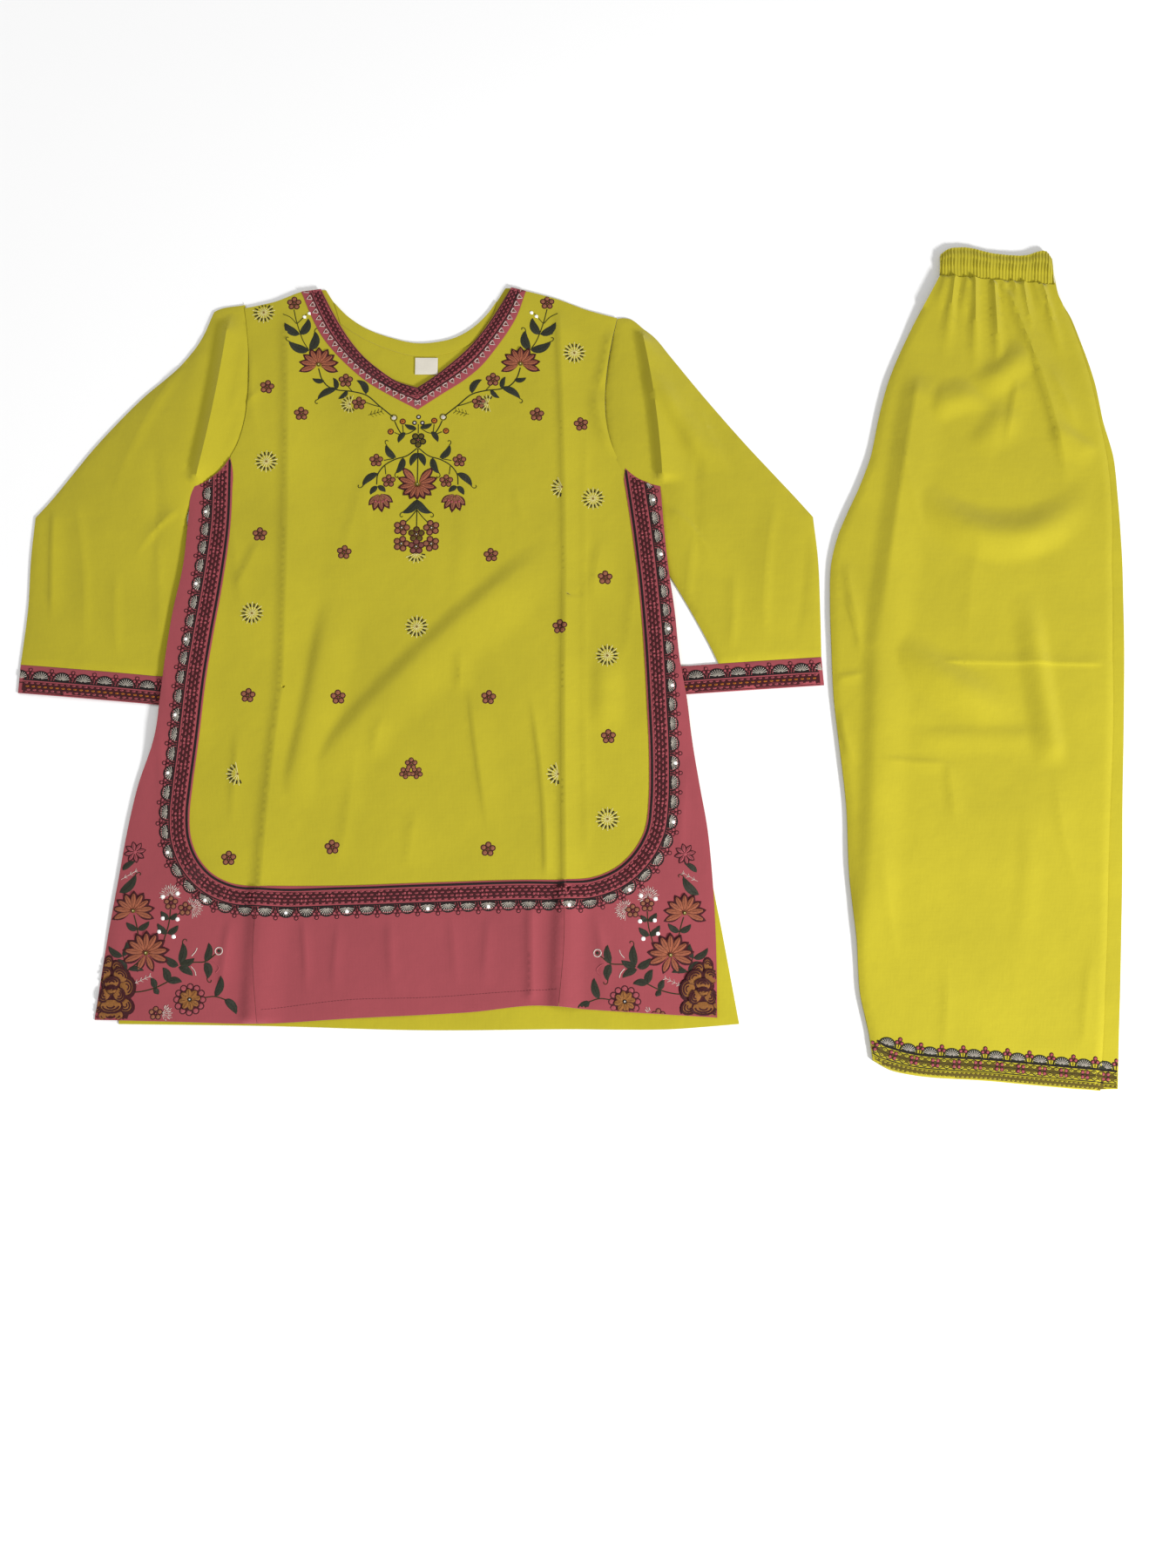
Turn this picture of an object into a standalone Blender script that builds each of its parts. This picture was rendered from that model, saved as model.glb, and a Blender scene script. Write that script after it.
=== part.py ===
"""Kurta set laid flat: a V-necked kurta with a bordered front, and trousers folded lengthwise.

Sizes are in millimetres and turned to metres where the meshes are made. +X runs to the
right, +Y up the garments to the neck and waist, +Z up from the surface they lie on.
"""
import math
from collections import namedtuple

import bpy
from mathutils import Vector
from mathutils.geometry import delaunay_2d_cdt

MM = 0.001

# Driving sizes
WALL = 1.2              # cloth wall
SEAM = 0.3              # room between two pieces at a seam
BAND_WALL = 1.0         # sewn-on bands, facing and label
RESTING = 2 * WALL + SEAM       # height of a flattened tube of cloth
FRONT_BASE = WALL + SEAM        # underside of the kurta front, over the back
CURVE_STEP = 12.0       # spacing of points along smooth edges
LEG_LAYERS = 2          # hidden layers between the two trouser walls
LEG_TOP_BASE = FRONT_BASE + LEG_LAYERS * (WALL + SEAM)

# Cloth colours (linear), roughness 0.9 all over
YELLOW = (0.50, 0.44, 0.035)
PINK = (0.40, 0.085, 0.11)
MAROON = (0.20, 0.045, 0.06)
CREAM = (0.70, 0.64, 0.50)


def table(columns, *rows):
    """Rows of numbers with named columns."""
    row_type = namedtuple("Row", columns)
    return [row_type(*row) for row in rows]


# Kurta body, from the underarm to the hem: side edges of the front
BODY = table("y left right",
             (172, -386, 87), (143, -387, 89), (87, -390, 94), (41, -398, 100),
             (-13, -404, 105), (-48, -407, 111), (-84, -410, 115), (-137, -425, 123),
             (-180, -433, 130), (-225, -439, 134), (-300, -449, 137), (-366, -456, 137))

# Kurta back below the side seams, where it swings a little to the right of the front
BACK_SIDE = table("y left right", (-180, -432, 129), (-232, -434, 134), (-277, -434, 142),
                  (-318, -434, 149), (-371, -433, 158))
BACK_HEM = table("x y", (-433, -371), (-290, -373), (-142, -377), (0, -376), (94, -376), (158, -371))
FRONT_HEM = table("x y", (-456, -367), (-380, -369), (-301, -371), (-214, -366), (-100, -360),
                  (-23, -354), (-14, -355), (40, -359), (137, -365))

# Shoulders from the neck to the armhole, and armholes as one bend from shoulder to underarm
SHOULDER_LEFT = table("x y", (-261, 389), (-281, 386), (-305, 376), (-339, 368))
SHOULDER_RIGHT = table("x y", (-65, 391), (-50, 387), (-17, 378), (13, 366), (44, 357))
ARMHOLE_LEFT = table("x y", (-339, 368), (-312, 195), (-386, 172))
ARMHOLE_RIGHT = table("x y", (44, 357), (5, 190), (87, 173))
ARMHOLE_POINTS = 16
CENTRE_FROM_LEFT = 10   # armhole points that the yellow front takes, from the shoulder
CENTRE_FROM_RIGHT = 11

# V neck band, from each shoulder to the point of the V, and the back neckline
NECK_LEFT = table("inner_x inner_y outer_x outer_y",
                  (-261, 389, -281, 386), (-249, 365, -269, 357), (-239, 347, -260, 339),
                  (-228, 330, -246, 320), (-214, 313, -228, 301), (-198, 299, -212, 287),
                  (-181, 287, -190, 273), (-160, 280, -159, 256))
NECK_RIGHT = table("inner_x inner_y outer_x outer_y",
                   (-65, 391, -50, 387), (-76, 371, -60, 357), (-86, 354, -70, 339),
                   (-99, 335, -80, 324), (-113, 319, -96, 303), (-127, 306, -113, 288),
                   (-142, 293, -132, 275), (-160, 280, -159, 256))
FRONT_UNDER_BAND = 4.0  # the neck band stands this far over the cut edge of the front
BACK_NECK = table("x y", (-256, 389), (-246, 373), (-232, 359), (-215, 347), (-185, 335),
                  (-163, 330), (-142, 331), (-120, 337), (-103, 348), (-88, 364), (-71, 391))
FACING_UPPER = table("x y", (-247, 374.5), (-232, 358.5), (-215, 346.5), (-185, 334.5),
                     (-163, 329.5), (-142, 330.5), (-120, 336.5), (-103, 347.5), (-88, 363.5),
                     (-80, 376))
FACING_LOWER = table("x y", (-84, 362), (-93, 347), (-104, 331), (-119, 322.5), (-141, 316.5),
                     (-163, 315.5), (-185, 321), (-207, 330), (-226, 341), (-240, 351))
LABEL = table("x y width height", (-151, 304, 23, 18))[0]

# Edge of the yellow front inside the border: left side, bottom, right side
CENTRE_LEFT = table("x y", (-348, 127), (-354, 65), (-360, 20), (-366, -30), (-370, -85),
                    (-375, -140), (-376.5, -168), (-374, -191), (-365, -212), (-349, -229),
                    (-328, -238.5), (-305, -241))
CENTRE_BOTTOM = table("x y", (-305, -241), (-217, -240), (-130, -237), (-46, -234.5), (-9, -234.5))
CENTRE_RIGHT = table("x y", (-9, -234.5), (19, -232), (44, -221), (61, -204), (72, -183),
                     (76, -155), (77, -120), (75, -54), (71, 24), (63, 110))
HEM_SEAM_LEFT = table("x y", (-301, -371), (-307, -307))
HEM_SEAM_RIGHT = table("x y", (-14, -355), (-9, -290))
BORDER_BAND = 25.0      # width of the embroidered band, outwards from the yellow edge
BAND_OVER = 3.0         # and inwards over the yellow cloth

# Sleeves from armhole to cuff seam: a row for each section, from the outer fold over a bend to
# the underarm edge. Loft is how far the upper layer stands above lying flat.
SLEEVE_COLUMNS = "outer_x outer_y bend_x bend_y inner_x inner_y loft"
SLEEVE_LEFT = table(SLEEVE_COLUMNS,
                    (-339, 368, -312, 195, -386, 172, 0), (-353, 366, -345, 215, -387, 171, 2.4),
                    (-361, 364, -362, 250, -388, 170, 0.8), (-368, 362, -384, 262, -389, 168, 0.5),
                    (-370, 361, -387, 262, -390, 165, 3.6), (-383, 331, -399, 235, -390, 140, 3.0),
                    (-400, 307, -398, 205, -390, 110, 2.6), (-440, 268, -420, 170, -390, 82, 2.2),
                    (-489, 210, -445, 125, -391, 50, 2.0), (-527, 157, -465, 90, -392, 24, 1.8),
                    (-541, 140, -470, 75, -393, 14, 1.7), (-543, 99, -471, 48, -395, 0, 1.4),
                    (-543, 43, -471, 15, -397, -14, 1.0), (-547, -14, -473, -20, -399, -27, 0.8))
SLEEVE_RIGHT = table(SLEEVE_COLUMNS,
                     (44, 357, 5, 190, 87, 173, 0), (52, 357.5, 44, 215, 88, 171, 2.2),
                     (60, 355, 70, 262, 88.5, 169, 0.8), (66, 350, 82, 262, 89, 166, 0.5),
                     (68, 348, 85, 262, 89.5, 163, 3.4), (81, 337, 100, 240, 89.5, 140, 3.0),
                     (98, 315, 96, 210, 89, 108, 2.6), (126, 278, 112, 175, 89, 80, 2.2),
                     (175, 217, 138, 130, 91, 50, 2.0), (225, 159, 160, 92, 94, 25, 1.8),
                     (240, 141, 168, 78, 95, 15, 1.7), (244, 97, 170, 48, 96, 4, 1.4),
                     (245, 43, 171, 18, 98, -6, 1.0), (245, -6, 172, -11, 99, -16, 0.8))
SLEEVE_STEP = 42.0
SLEEVE_PARTS = 10       # strips across each layer of a sleeve
CUFF_DEPTH_LEFT = (-1, -29)     # from the cuff seam to the open end
CUFF_DEPTH_RIGHT = (2, -29)
CUFF_RINGS = 3
SLEEVE_FLAT_EDGE = 11.0  # strip along the inner edge that lies flat under the body
EDGE_ROUND = 1.0        # how far a flattened edge rounds in

# The kurta's sides lie over the sleeves: between these heights, ramping off beyond them
LIFT = RESTING + 2 * SEAM
LIFT_REACH = 34.0
LIFT_SPREAD = 14.0      # the front's rise starts this much sooner than the back's
LIFT_OVER = 0.5         # and stands this much higher
LIFT_SIDES = table("sign top full_top full_bottom bottom",
                   (-1, 150, 92, -62, -110), (1, 172, 138, -52, -100))

# Pressed creases, tucks and soft folds: from one end to the other, bowed sideways, steep on one
# side and easing off on the other (a minus sign turns it round)
FOLD_COLUMNS = "x0 y0 x1 y1 bow height steep gentle taper0 taper1"
FRONT_FOLDS = table(FOLD_COLUMNS,
                    (-304, 375, -292, -57, 11, 1.6, 3, -42, 0.15, 0),
                    (-292, -57, -301, -372, -7, 1.6, 3, -42, 0, 0),
                    (-14, 378, -8, -36, 1, 2.0, 3, 44, 0.15, 0),
                    (-8, -36, -14, -358, 4, 2.0, 3, 44, 0, 0),
                    (-236, 110, -272, -90, 8, 1.5, 16, 30, 0.4, 0.4),
                    (-88, 70, -205, -50, 10, 1.6, 26, 34, 0.5, 0.5),
                    (-150, -60, -120, -230, -12, 1.2, 20, 26, 0.4, 0.3),
                    (-60, 250, -52, 60, 8, 1.0, 16, 24, 0.4, 0.4),
                    (-250, 300, -262, 130, -8, 1.0, 14, 24, 0.4, 0.4))
LEG_FOLDS = table(FOLD_COLUMNS,
                  (439, 389, 492, 171, -14, 3.2, 6, 30, 0.1, 0.35),
                  (348, 300, 289, -183, -14, 2.2, 5, 26, 0.25, 0.3),
                  (396, 156, 506, 156, -14, 2.4, 7, 22, 0.35, 0.35),
                  (384, 354, 312, 245, -12, 2.8, 4, 16, 0.2, 0.3),
                  (442, 30, 446, -110, 6, 1.4, 12, 22, 0.4, 0.4),
                  (300, -16, 520, -30, 2, 1.2, 8, 16, 0.2, 0.2),
                  (300, -74, 520, -82, 2, 1.0, 8, 16, 0.2, 0.2),
                  (350, -150, 400, -350, 8, 1.4, 22, 34, 0.4, 0.4))

# Gathers that fan out below the waistband
GATHERS = table("x lean length height", (384, -14, 62, 2.2), (393, -8, 88, 2.6), (402, -6, 54, 2.0),
                (410, -3, 96, 3.0), (419, 0, 60, 2.2), (429, 2, 104, 3.0), (450, 5, 70, 2.4),
                (460, 9, 92, 2.8), (470, 13, 58, 2.0), (480, 14, 84, 2.4), (488, 13, 50, 1.8))
GATHER_HALF = 5.0

# Trousers, folded lengthwise: left edge, right edge of the upper leg and of the lower leg
LEG = table("y left upper lower",
            (402, 376, 494, 494), (381, 365, 497, 498), (359, 353, 506, 509), (335, 341, 514, 517),
            (283, 319, 527, 531), (242, 308, 533, 537), (206, 300, 538, 545), (169, 286, 540, 547),
            (119, 264, 539, 548), (91, 257, 537, 548), (58, 255, 536, 547), (3, 255, 533, 545),
            (-48, 256, 531, 542), (-94, 260, 528, 539), (-150, 265, 523, 535), (-234, 267, 516, 530),
            (-290, 272, 512, 526), (-344, 274, 507, 522), (-380, 281, 504, 519), (-406, 284, 501, 517))
LEG_HEM = table("x y", (285, -410), (300, -415), (400, -426), (498, -435))
LOWER_HEM_RIGHT = (515, -433)
WAIST_LEFT = (376, 402)
WAIST_RIGHT = (494, 392)
BAND_TOP = table("x y", (378, 427), (386, 433), (402, 435), (434, 428), (465, 426), (488, 430),
                 (493, 422))
RIBS = 36
RIB_HEIGHT = 1.3
RIB_POINTS = 3
WAIST_ROWS = 4
WAIST_WALL = 1.6
WAIST_BULK = 2.2        # the gathered waist is this much thicker than the legs
LEG_INSET = 1.5         # hidden layers stay this far inside the legs' edges
LAYER_GROOVE = 1.0      # the line between the hidden layers is this deep
GATHERED_WAY = 90.0     # the waist's bulk fades out this far below it
SOFT_EDGE = 14.0        # the upper leg's folds fade towards its edges
WAIST_ROLL = 2.6        # the band's top edge rolls down this much, its ends less
END_ROLL = 1.6
FRONT_NET = 27.0        # spacing of the net that the front's pieces share
BACK_NET = 55.0
BACK_RISE_LINES = (11, 24, 40)  # lines of points along the back's sides, where it rises
BAND_BRIDGE = 8.0       # the bands bridge folds by this much to either side
FOLD_ROOM = 3.5         # least distance from a fold's points to an edge
FOLD_POINT_GAP = 2.2    # and between two of them
NET_ROOM = 0.42         # share of a net's spacing kept clear of edges and fold points
BACK_INSET = 0.8        # the back's sides lie this far inside the front's above the slits
RISE_FROM, RISE_TO = -115, 165  # heights between which the back's sides carry lines of points
ALMOST = 0.5            # points nearer than this are one point


def remove_all():
    for item in list(bpy.data.objects):
        bpy.data.objects.remove(item, do_unlink=True)


def material(name, colour):
    """Plain cloth finish of one colour."""
    finish = bpy.data.materials.new(name)
    finish.use_nodes = True
    shader = finish.node_tree.nodes["Principled BSDF"]
    shader.inputs["Base Color"].default_value = (*colour, 1.0)
    shader.inputs["Roughness"].default_value = 0.9
    shader.inputs["Metallic"].default_value = 0.0
    return finish


def make_object(name, vertices, faces, finish):
    """A mesh object from points in millimetres."""
    mesh = bpy.data.meshes.new(name)
    mesh.from_pydata([(x * MM, y * MM, z * MM) for x, y, z in vertices], [], faces)
    mesh.materials.append(finish)
    mesh.update()
    item = bpy.data.objects.new(name, mesh)
    bpy.context.scene.collection.objects.link(item)
    return item


def ease(value):
    """0 below 0, 1 above 1, smooth between."""
    value = min(1.0, max(0.0, value))
    return value * value * (3.0 - 2.0 * value)


def smooth(rows, step=CURVE_STEP, parts=None):
    """A smooth curve through the rows, as tuples. The first two columns set the spacing,
    unless each stretch gets the same number of parts."""
    rows = [tuple(row) for row in rows]
    chords = [math.dist(a[:2], b[:2]) for a, b in zip(rows, rows[1:])]
    slopes = [tuple((b - a) / c for a, b in zip(p, q)) for p, q, c in zip(rows, rows[1:], chords)]
    tangents = [slopes[0]]
    for i in range(1, len(slopes)):
        before, after = chords[i - 1], chords[i]
        tangents.append(tuple((s * after + t * before) / (before + after)
                              for s, t in zip(slopes[i - 1], slopes[i])))
    tangents.append(slopes[-1])
    curve = [rows[0]]
    for i, chord in enumerate(chords):
        count = parts or max(1, round(chord / step))
        for k in range(1, count + 1):
            t = k / count
            start, end = 1 - 3 * t * t + 2 * t ** 3, 3 * t * t - 2 * t ** 3
            leave, arrive = (t - 2 * t * t + t ** 3) * chord, (t ** 3 - t * t) * chord
            curve.append(tuple(a * start + b * end + m * leave + n * arrive for a, b, m, n in
                               zip(rows[i], rows[i + 1], tangents[i], tangents[i + 1])))
    return curve


def offset(curve, distance):
    """An open curve moved sideways: to its left for a positive distance."""
    moved = []
    for i, (x, y) in enumerate(curve):
        before, after = curve[max(i - 1, 0)], curve[min(i + 1, len(curve) - 1)]
        dx, dy = after[0] - before[0], after[1] - before[1]
        length = math.hypot(dx, dy)
        moved.append((x - dy / length * distance, y + dx / length * distance))
    return moved


def loop(*curves):
    """Curves joined end to end into one closed outline, without doubled points."""
    points = []
    for curve in curves:
        for point in curve:
            if not points or math.dist(points[-1], point) > ALMOST:
                points.append((point[0], point[1]))
    if math.dist(points[0], points[-1]) < ALMOST:
        points.pop()
    return points


def bend(start, control, end, t):
    """A point on the bend from start to end that is drawn towards control."""
    return tuple(a * (1 - t) ** 2 + 2 * c * t * (1 - t) + b * t * t
                 for a, c, b in zip(start, control, end))


def armhole(rows, inwards):
    """The armhole from shoulder to underarm, moved into the body by the given distance."""
    curve = [bend(*rows, i / (ARMHOLE_POINTS - 1)) for i in range(ARMHOLE_POINTS)]
    return offset(curve, inwards)


def along_curve(curve, share):
    """The point at a share of the way along a curve of evenly spaced points."""
    place = share * (len(curve) - 1)
    i = min(int(place), len(curve) - 2)
    return tuple(a + (b - a) * (place - i) for a, b in zip(curve[i], curve[i + 1]))


def inside(x, y, outline):
    """Whether a point lies within a closed outline."""
    within = False
    for (ax, ay), (bx, by) in zip(outline, outline[1:] + outline[:1]):
        if (ay > y) != (by > y) and x < ax + (y - ay) * (bx - ax) / (by - ay):
            within = not within
    return within


def edge_distance(x, y, line):
    """Distance from a point to the nearest place on a line."""
    nearest = math.inf
    for (ax, ay), (bx, by) in zip(line, line[1:]):
        dx, dy = bx - ax, by - ay
        t = ((x - ax) * dx + (y - ay) * dy) / (dx * dx + dy * dy)
        t = min(1.0, max(0.0, t))
        nearest = min(nearest, math.hypot(x - ax - dx * t, y - ay - dy * t))
    return nearest


def net_points(outline, spacing, edges, lines=()):
    """Points of a staggered net within an outline, clear of the given edges, and points of
    the given lines."""
    points = []
    for line in lines:
        for x, y in line:
            if (inside(x, y, outline) and min(edge_distance(x, y, e) for e in edges) > FOLD_ROOM
                    and all(math.dist((x, y), p) > FOLD_POINT_GAP for p in points)):
                points.append((x, y))
    held, room = len(points), NET_ROOM * spacing
    row_height = spacing * math.sqrt(3) / 2
    xs, ys = [p[0] for p in outline], [p[1] for p in outline]
    row, y = 0, min(ys) + row_height / 2
    while y < max(ys):
        x = min(xs) + spacing * (0.5 if row % 2 else 1.0)
        while x < max(xs):
            if (inside(x, y, outline) and min(edge_distance(x, y, e) for e in edges) > room
                    and all(math.dist((x, y), p) > room for p in points[:held])):
                points.append((x, y))
            x += spacing
        row, y = row + 1, y + row_height
    return points


def runs_inside(line, outline, room=2.0):
    """The stretches of a line that lie within an outline, clear of its edge."""
    rim = outline + outline[:1]
    runs = [[]]
    for point in line:
        if inside(*point[:2], outline) and edge_distance(*point[:2], rim) > room:
            runs[-1].append(tuple(point[:2]))
        elif runs[-1]:
            runs.append([])
    return [run for run in runs if len(run) > 1]


def fill(outline, inner, marks=()):
    """Triangles over an outline, the marked lines and the points within it, all one way up."""
    count = len(outline)
    places = list(outline)
    edges = [(i, (i + 1) % count) for i in range(count)]
    for mark in marks:
        first = len(places)
        places += mark
        edges += [(first + i, first + i + 1) for i in range(len(mark) - 1)]
    found = delaunay_2d_cdt([Vector(p) for p in places + inner], edges, [], 1, 1e-6)
    points, triangles = [(p.x, p.y) for p in found[0]], []
    for face in found[2]:
        a, b, c = (points[i] for i in face)
        turned = (b[0] - a[0]) * (c[1] - a[1]) - (b[1] - a[1]) * (c[0] - a[0])
        triangles.append(tuple(face) if turned > 0 else tuple(reversed(face)))
    return points, triangles


def sheet(name, outline, base, finish, wall=WALL, spacing=20.0, lines=(), marks=(), net=None):
    """One panel: an outline filled with a net, its underside at base(x, y), with an even wall."""
    rim = outline + outline[:1]
    if net is None:
        net = net_points(outline, spacing, [rim], lines)
    else:
        net = [p for p in net if inside(*p, outline) and edge_distance(*p, rim) > FOLD_ROOM]
    runs = [run for mark in marks for run in runs_inside(mark, outline)]
    points, triangles = fill(outline, net, runs)
    count = len(points)
    heights = [base(x, y) for x, y in points]
    vertices = [(x, y, z + wall) for (x, y), z in zip(points, heights)]
    vertices += [(x, y, z) for (x, y), z in zip(points, heights)]
    faces = list(triangles)
    faces += [(c + count, b + count, a + count) for a, b, c in triangles]
    used = {(t[i], t[(i + 1) % 3]) for t in triangles for i in range(3)}
    faces += [(b, a, a + count, b + count) for a, b in sorted(used) if (b, a) not in used]
    return make_object(name, vertices, faces, finish)


def tube(name, outer_rings, inner_rings, finish):
    """A tube with a wall, open at both ends, through matching outer and inner rings."""
    around, count = len(outer_rings[0]), len(outer_rings)
    vertices = [p for ring in outer_rings + inner_rings for p in ring]
    start_inner = around * count
    faces = []
    for r in range(count - 1):
        for i in range(around):
            j = (i + 1) % around
            a, b, c, d = r * around + i, r * around + j, (r + 1) * around + j, (r + 1) * around + i
            faces.append((a, b, c, d))
            faces.append(tuple(start_inner + k for k in (d, c, b, a)))
    last = (count - 1) * around
    for i in range(around):
        j = (i + 1) % around
        faces.append((j, i, start_inner + i, start_inner + j))
        faces.append((last + i, last + j, start_inner + last + j, start_inner + last + i))
    return make_object(name, vertices, faces, finish)


def fold_height(fold, x, y):
    """Height that one fold adds at a point."""
    dx, dy = fold.x1 - fold.x0, fold.y1 - fold.y0
    length = math.hypot(dx, dy)
    along = ((x - fold.x0) * dx + (y - fold.y0) * dy) / length ** 2
    if along < 0 or along > 1:
        return 0.0
    across = ((x - fold.x0) * -dy + (y - fold.y0) * dx) / length
    across = -across - fold.bow * 4 * along * (1 - along)
    if fold.gentle < 0:
        across = -across
    reach = fold.steep if across < 0 else abs(fold.gentle)
    height = fold.height * ease(1 - abs(across) / reach)
    if fold.taper0:
        height *= ease(along / fold.taper0)
    if fold.taper1:
        height *= ease((1 - along) / fold.taper1)
    return height


def fold_lines(folds, spacing=24.0):
    """Points along each fold: its foot, its crest and its easy side."""
    lines = []
    for fold in folds:
        dx, dy = fold.x1 - fold.x0, fold.y1 - fold.y0
        length = math.hypot(dx, dy)
        turn = -1 if fold.gentle < 0 else 1
        for shift in (-fold.steep, 0.0, abs(fold.gentle) * 0.45):
            line = []
            count = max(2, round(length / spacing))
            for k in range(count + 1):
                t = k / count
                side = turn * shift + fold.bow * 4 * t * (1 - t)
                line.append((fold.x0 + dx * t + dy / length * side,
                             fold.y0 + dy * t - dx / length * side))
            lines.append(line)
    return lines


def highest(folds, x, y):
    return max(fold_height(fold, x, y) for fold in folds)


def hidden_edge(sign, y):
    """The sleeve's edge under the body at a height."""
    rows = SLEEVE_LEFT if sign < 0 else SLEEVE_RIGHT
    edge = [(row.inner_y, row.inner_x) for row in rows]
    if y <= edge[-1][0]:
        return edge[-1][1]
    for (above, x0), (below, x1) in zip(edge, edge[1:]):
        if above >= y >= below:
            return x0 + (x1 - x0) * (above - y) / max(above - below, 1e-6)
    return edge[0][1]


def lift(x, y, spread=0.0):
    """How far the body's sides rise where they lie over the sleeves."""
    height = 0.0
    for side in LIFT_SIDES:
        if side.bottom - spread < y < side.top + spread:
            into_body = side.sign * (hidden_edge(side.sign, y) - x)
            across = ease(1 - (into_body - 2.0) / (LIFT_REACH + spread))
            start = ease((side.top + spread - y) / (side.top - side.full_top))
            stop = ease((y - side.bottom + spread) / (side.full_bottom - side.bottom))
            height = max(height, LIFT * across * start * stop)
    return height


def front_base(x, y, folds_within=0.0):
    """Underside of the front, over the highest fold that is within a distance to either side."""
    rise = lift(x, y, LIFT_SPREAD) * (1 + LIFT_OVER / LIFT)
    fold = max(highest(FRONT_FOLDS, x + shift, y) for shift in (-folds_within, 0.0, folds_within))
    return FRONT_BASE + rise + fold


def band_base(x, y):
    """Underside of the bands, which bridge the foot of each fold."""
    return front_base(x, y, BAND_BRIDGE) + WALL + SEAM


def centre_edge():
    """Left, bottom and right stretches of the yellow front's edge, from armhole to armhole."""
    left_start = armhole(ARMHOLE_LEFT, SEAM / 2)[CENTRE_FROM_LEFT]
    right_end = armhole(ARMHOLE_RIGHT, -SEAM / 2)[CENTRE_FROM_RIGHT]
    left = smooth([left_start] + [tuple(row) for row in CENTRE_LEFT])
    bottom = smooth(CENTRE_BOTTOM, 16.0)
    right = smooth([tuple(row) for row in CENTRE_RIGHT] + [right_end])
    return left, bottom, right


def front_lines():
    """Lines that the front's pieces share, so that stacked pieces have the same net: the seam
    inside the border, both edges of the band, and the sides of the hem panel."""
    seam = loop(*centre_edge())
    band_inner, band_outer = offset(seam, BAND_OVER), offset(seam, -BORDER_BAND)
    hem_seams = [smooth([tuple(row) for row in rows] + [tuple(end)])
                 for rows, end in ((HEM_SEAM_LEFT, CENTRE_LEFT[-1]), (HEM_SEAM_RIGHT, CENTRE_RIGHT[0]))]
    return [offset(seam, -SEAM / 2), band_inner, band_outer, *hem_seams]


def front_net():
    """The net of the whole front."""
    sides = [[(getattr(row, side), row.y) for row in BODY] for side in ("left", "right")]
    outline = loop(armhole(ARMHOLE_LEFT, 0.0), sides[0], FRONT_HEM, reversed(sides[1]),
                   reversed(armhole(ARMHOLE_RIGHT, 0.0)), reversed(SHOULDER_RIGHT), SHOULDER_LEFT)
    return net_points(outline, FRONT_NET, [outline + outline[:1], *front_lines()],
                      fold_lines(FRONT_FOLDS))


def make_back(finish):
    left = [(row.left + BACK_INSET, row.y) for row in BODY if row.y > BACK_SIDE[0].y]
    right = [(row.right - BACK_INSET, row.y) for row in BODY if row.y > BACK_SIDE[0].y]
    left += [(row.left, row.y) for row in BACK_SIDE]
    right += [(row.right, row.y) for row in BACK_SIDE]
    left, right = smooth(left, 22.0), smooth(right, 22.0)
    outline = loop(armhole(ARMHOLE_LEFT, SEAM / 2), left, smooth(BACK_HEM, 40.0), reversed(right),
                   reversed(armhole(ARMHOLE_RIGHT, -SEAM / 2)), reversed(smooth(SHOULDER_RIGHT, 20.0)),
                   reversed(smooth(BACK_NECK)), smooth(SHOULDER_LEFT, 20.0))
    near_left, near_right = ([p for p in side if RISE_FROM < p[1] < RISE_TO] for side in (left, right))
    lines = [offset(near_left, shift) for shift in BACK_RISE_LINES]
    lines += [offset(near_right, -shift) for shift in BACK_RISE_LINES]
    sheet("kurta_back", outline, lift, finish, spacing=BACK_NET, lines=lines)


def make_front(finish, net):
    left, bottom, right = centre_edge()
    neck_left = offset(smooth([row[:2] for row in NECK_LEFT], 14.0), -FRONT_UNDER_BAND)
    neck_right = offset(smooth([row[:2] for row in NECK_RIGHT], 14.0), FRONT_UNDER_BAND)
    outline = loop(armhole(ARMHOLE_LEFT, SEAM / 2)[:CENTRE_FROM_LEFT], left, bottom, right,
                   reversed(armhole(ARMHOLE_RIGHT, -SEAM / 2)[:CENTRE_FROM_RIGHT]),
                   reversed(smooth(SHOULDER_RIGHT, 16.0)[1:]), neck_right[:-1],
                   reversed(neck_left[:-1]), smooth(SHOULDER_LEFT, 16.0)[1:])
    sheet("kurta_front", outline, front_base, finish, marks=front_lines(), net=net)


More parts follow.
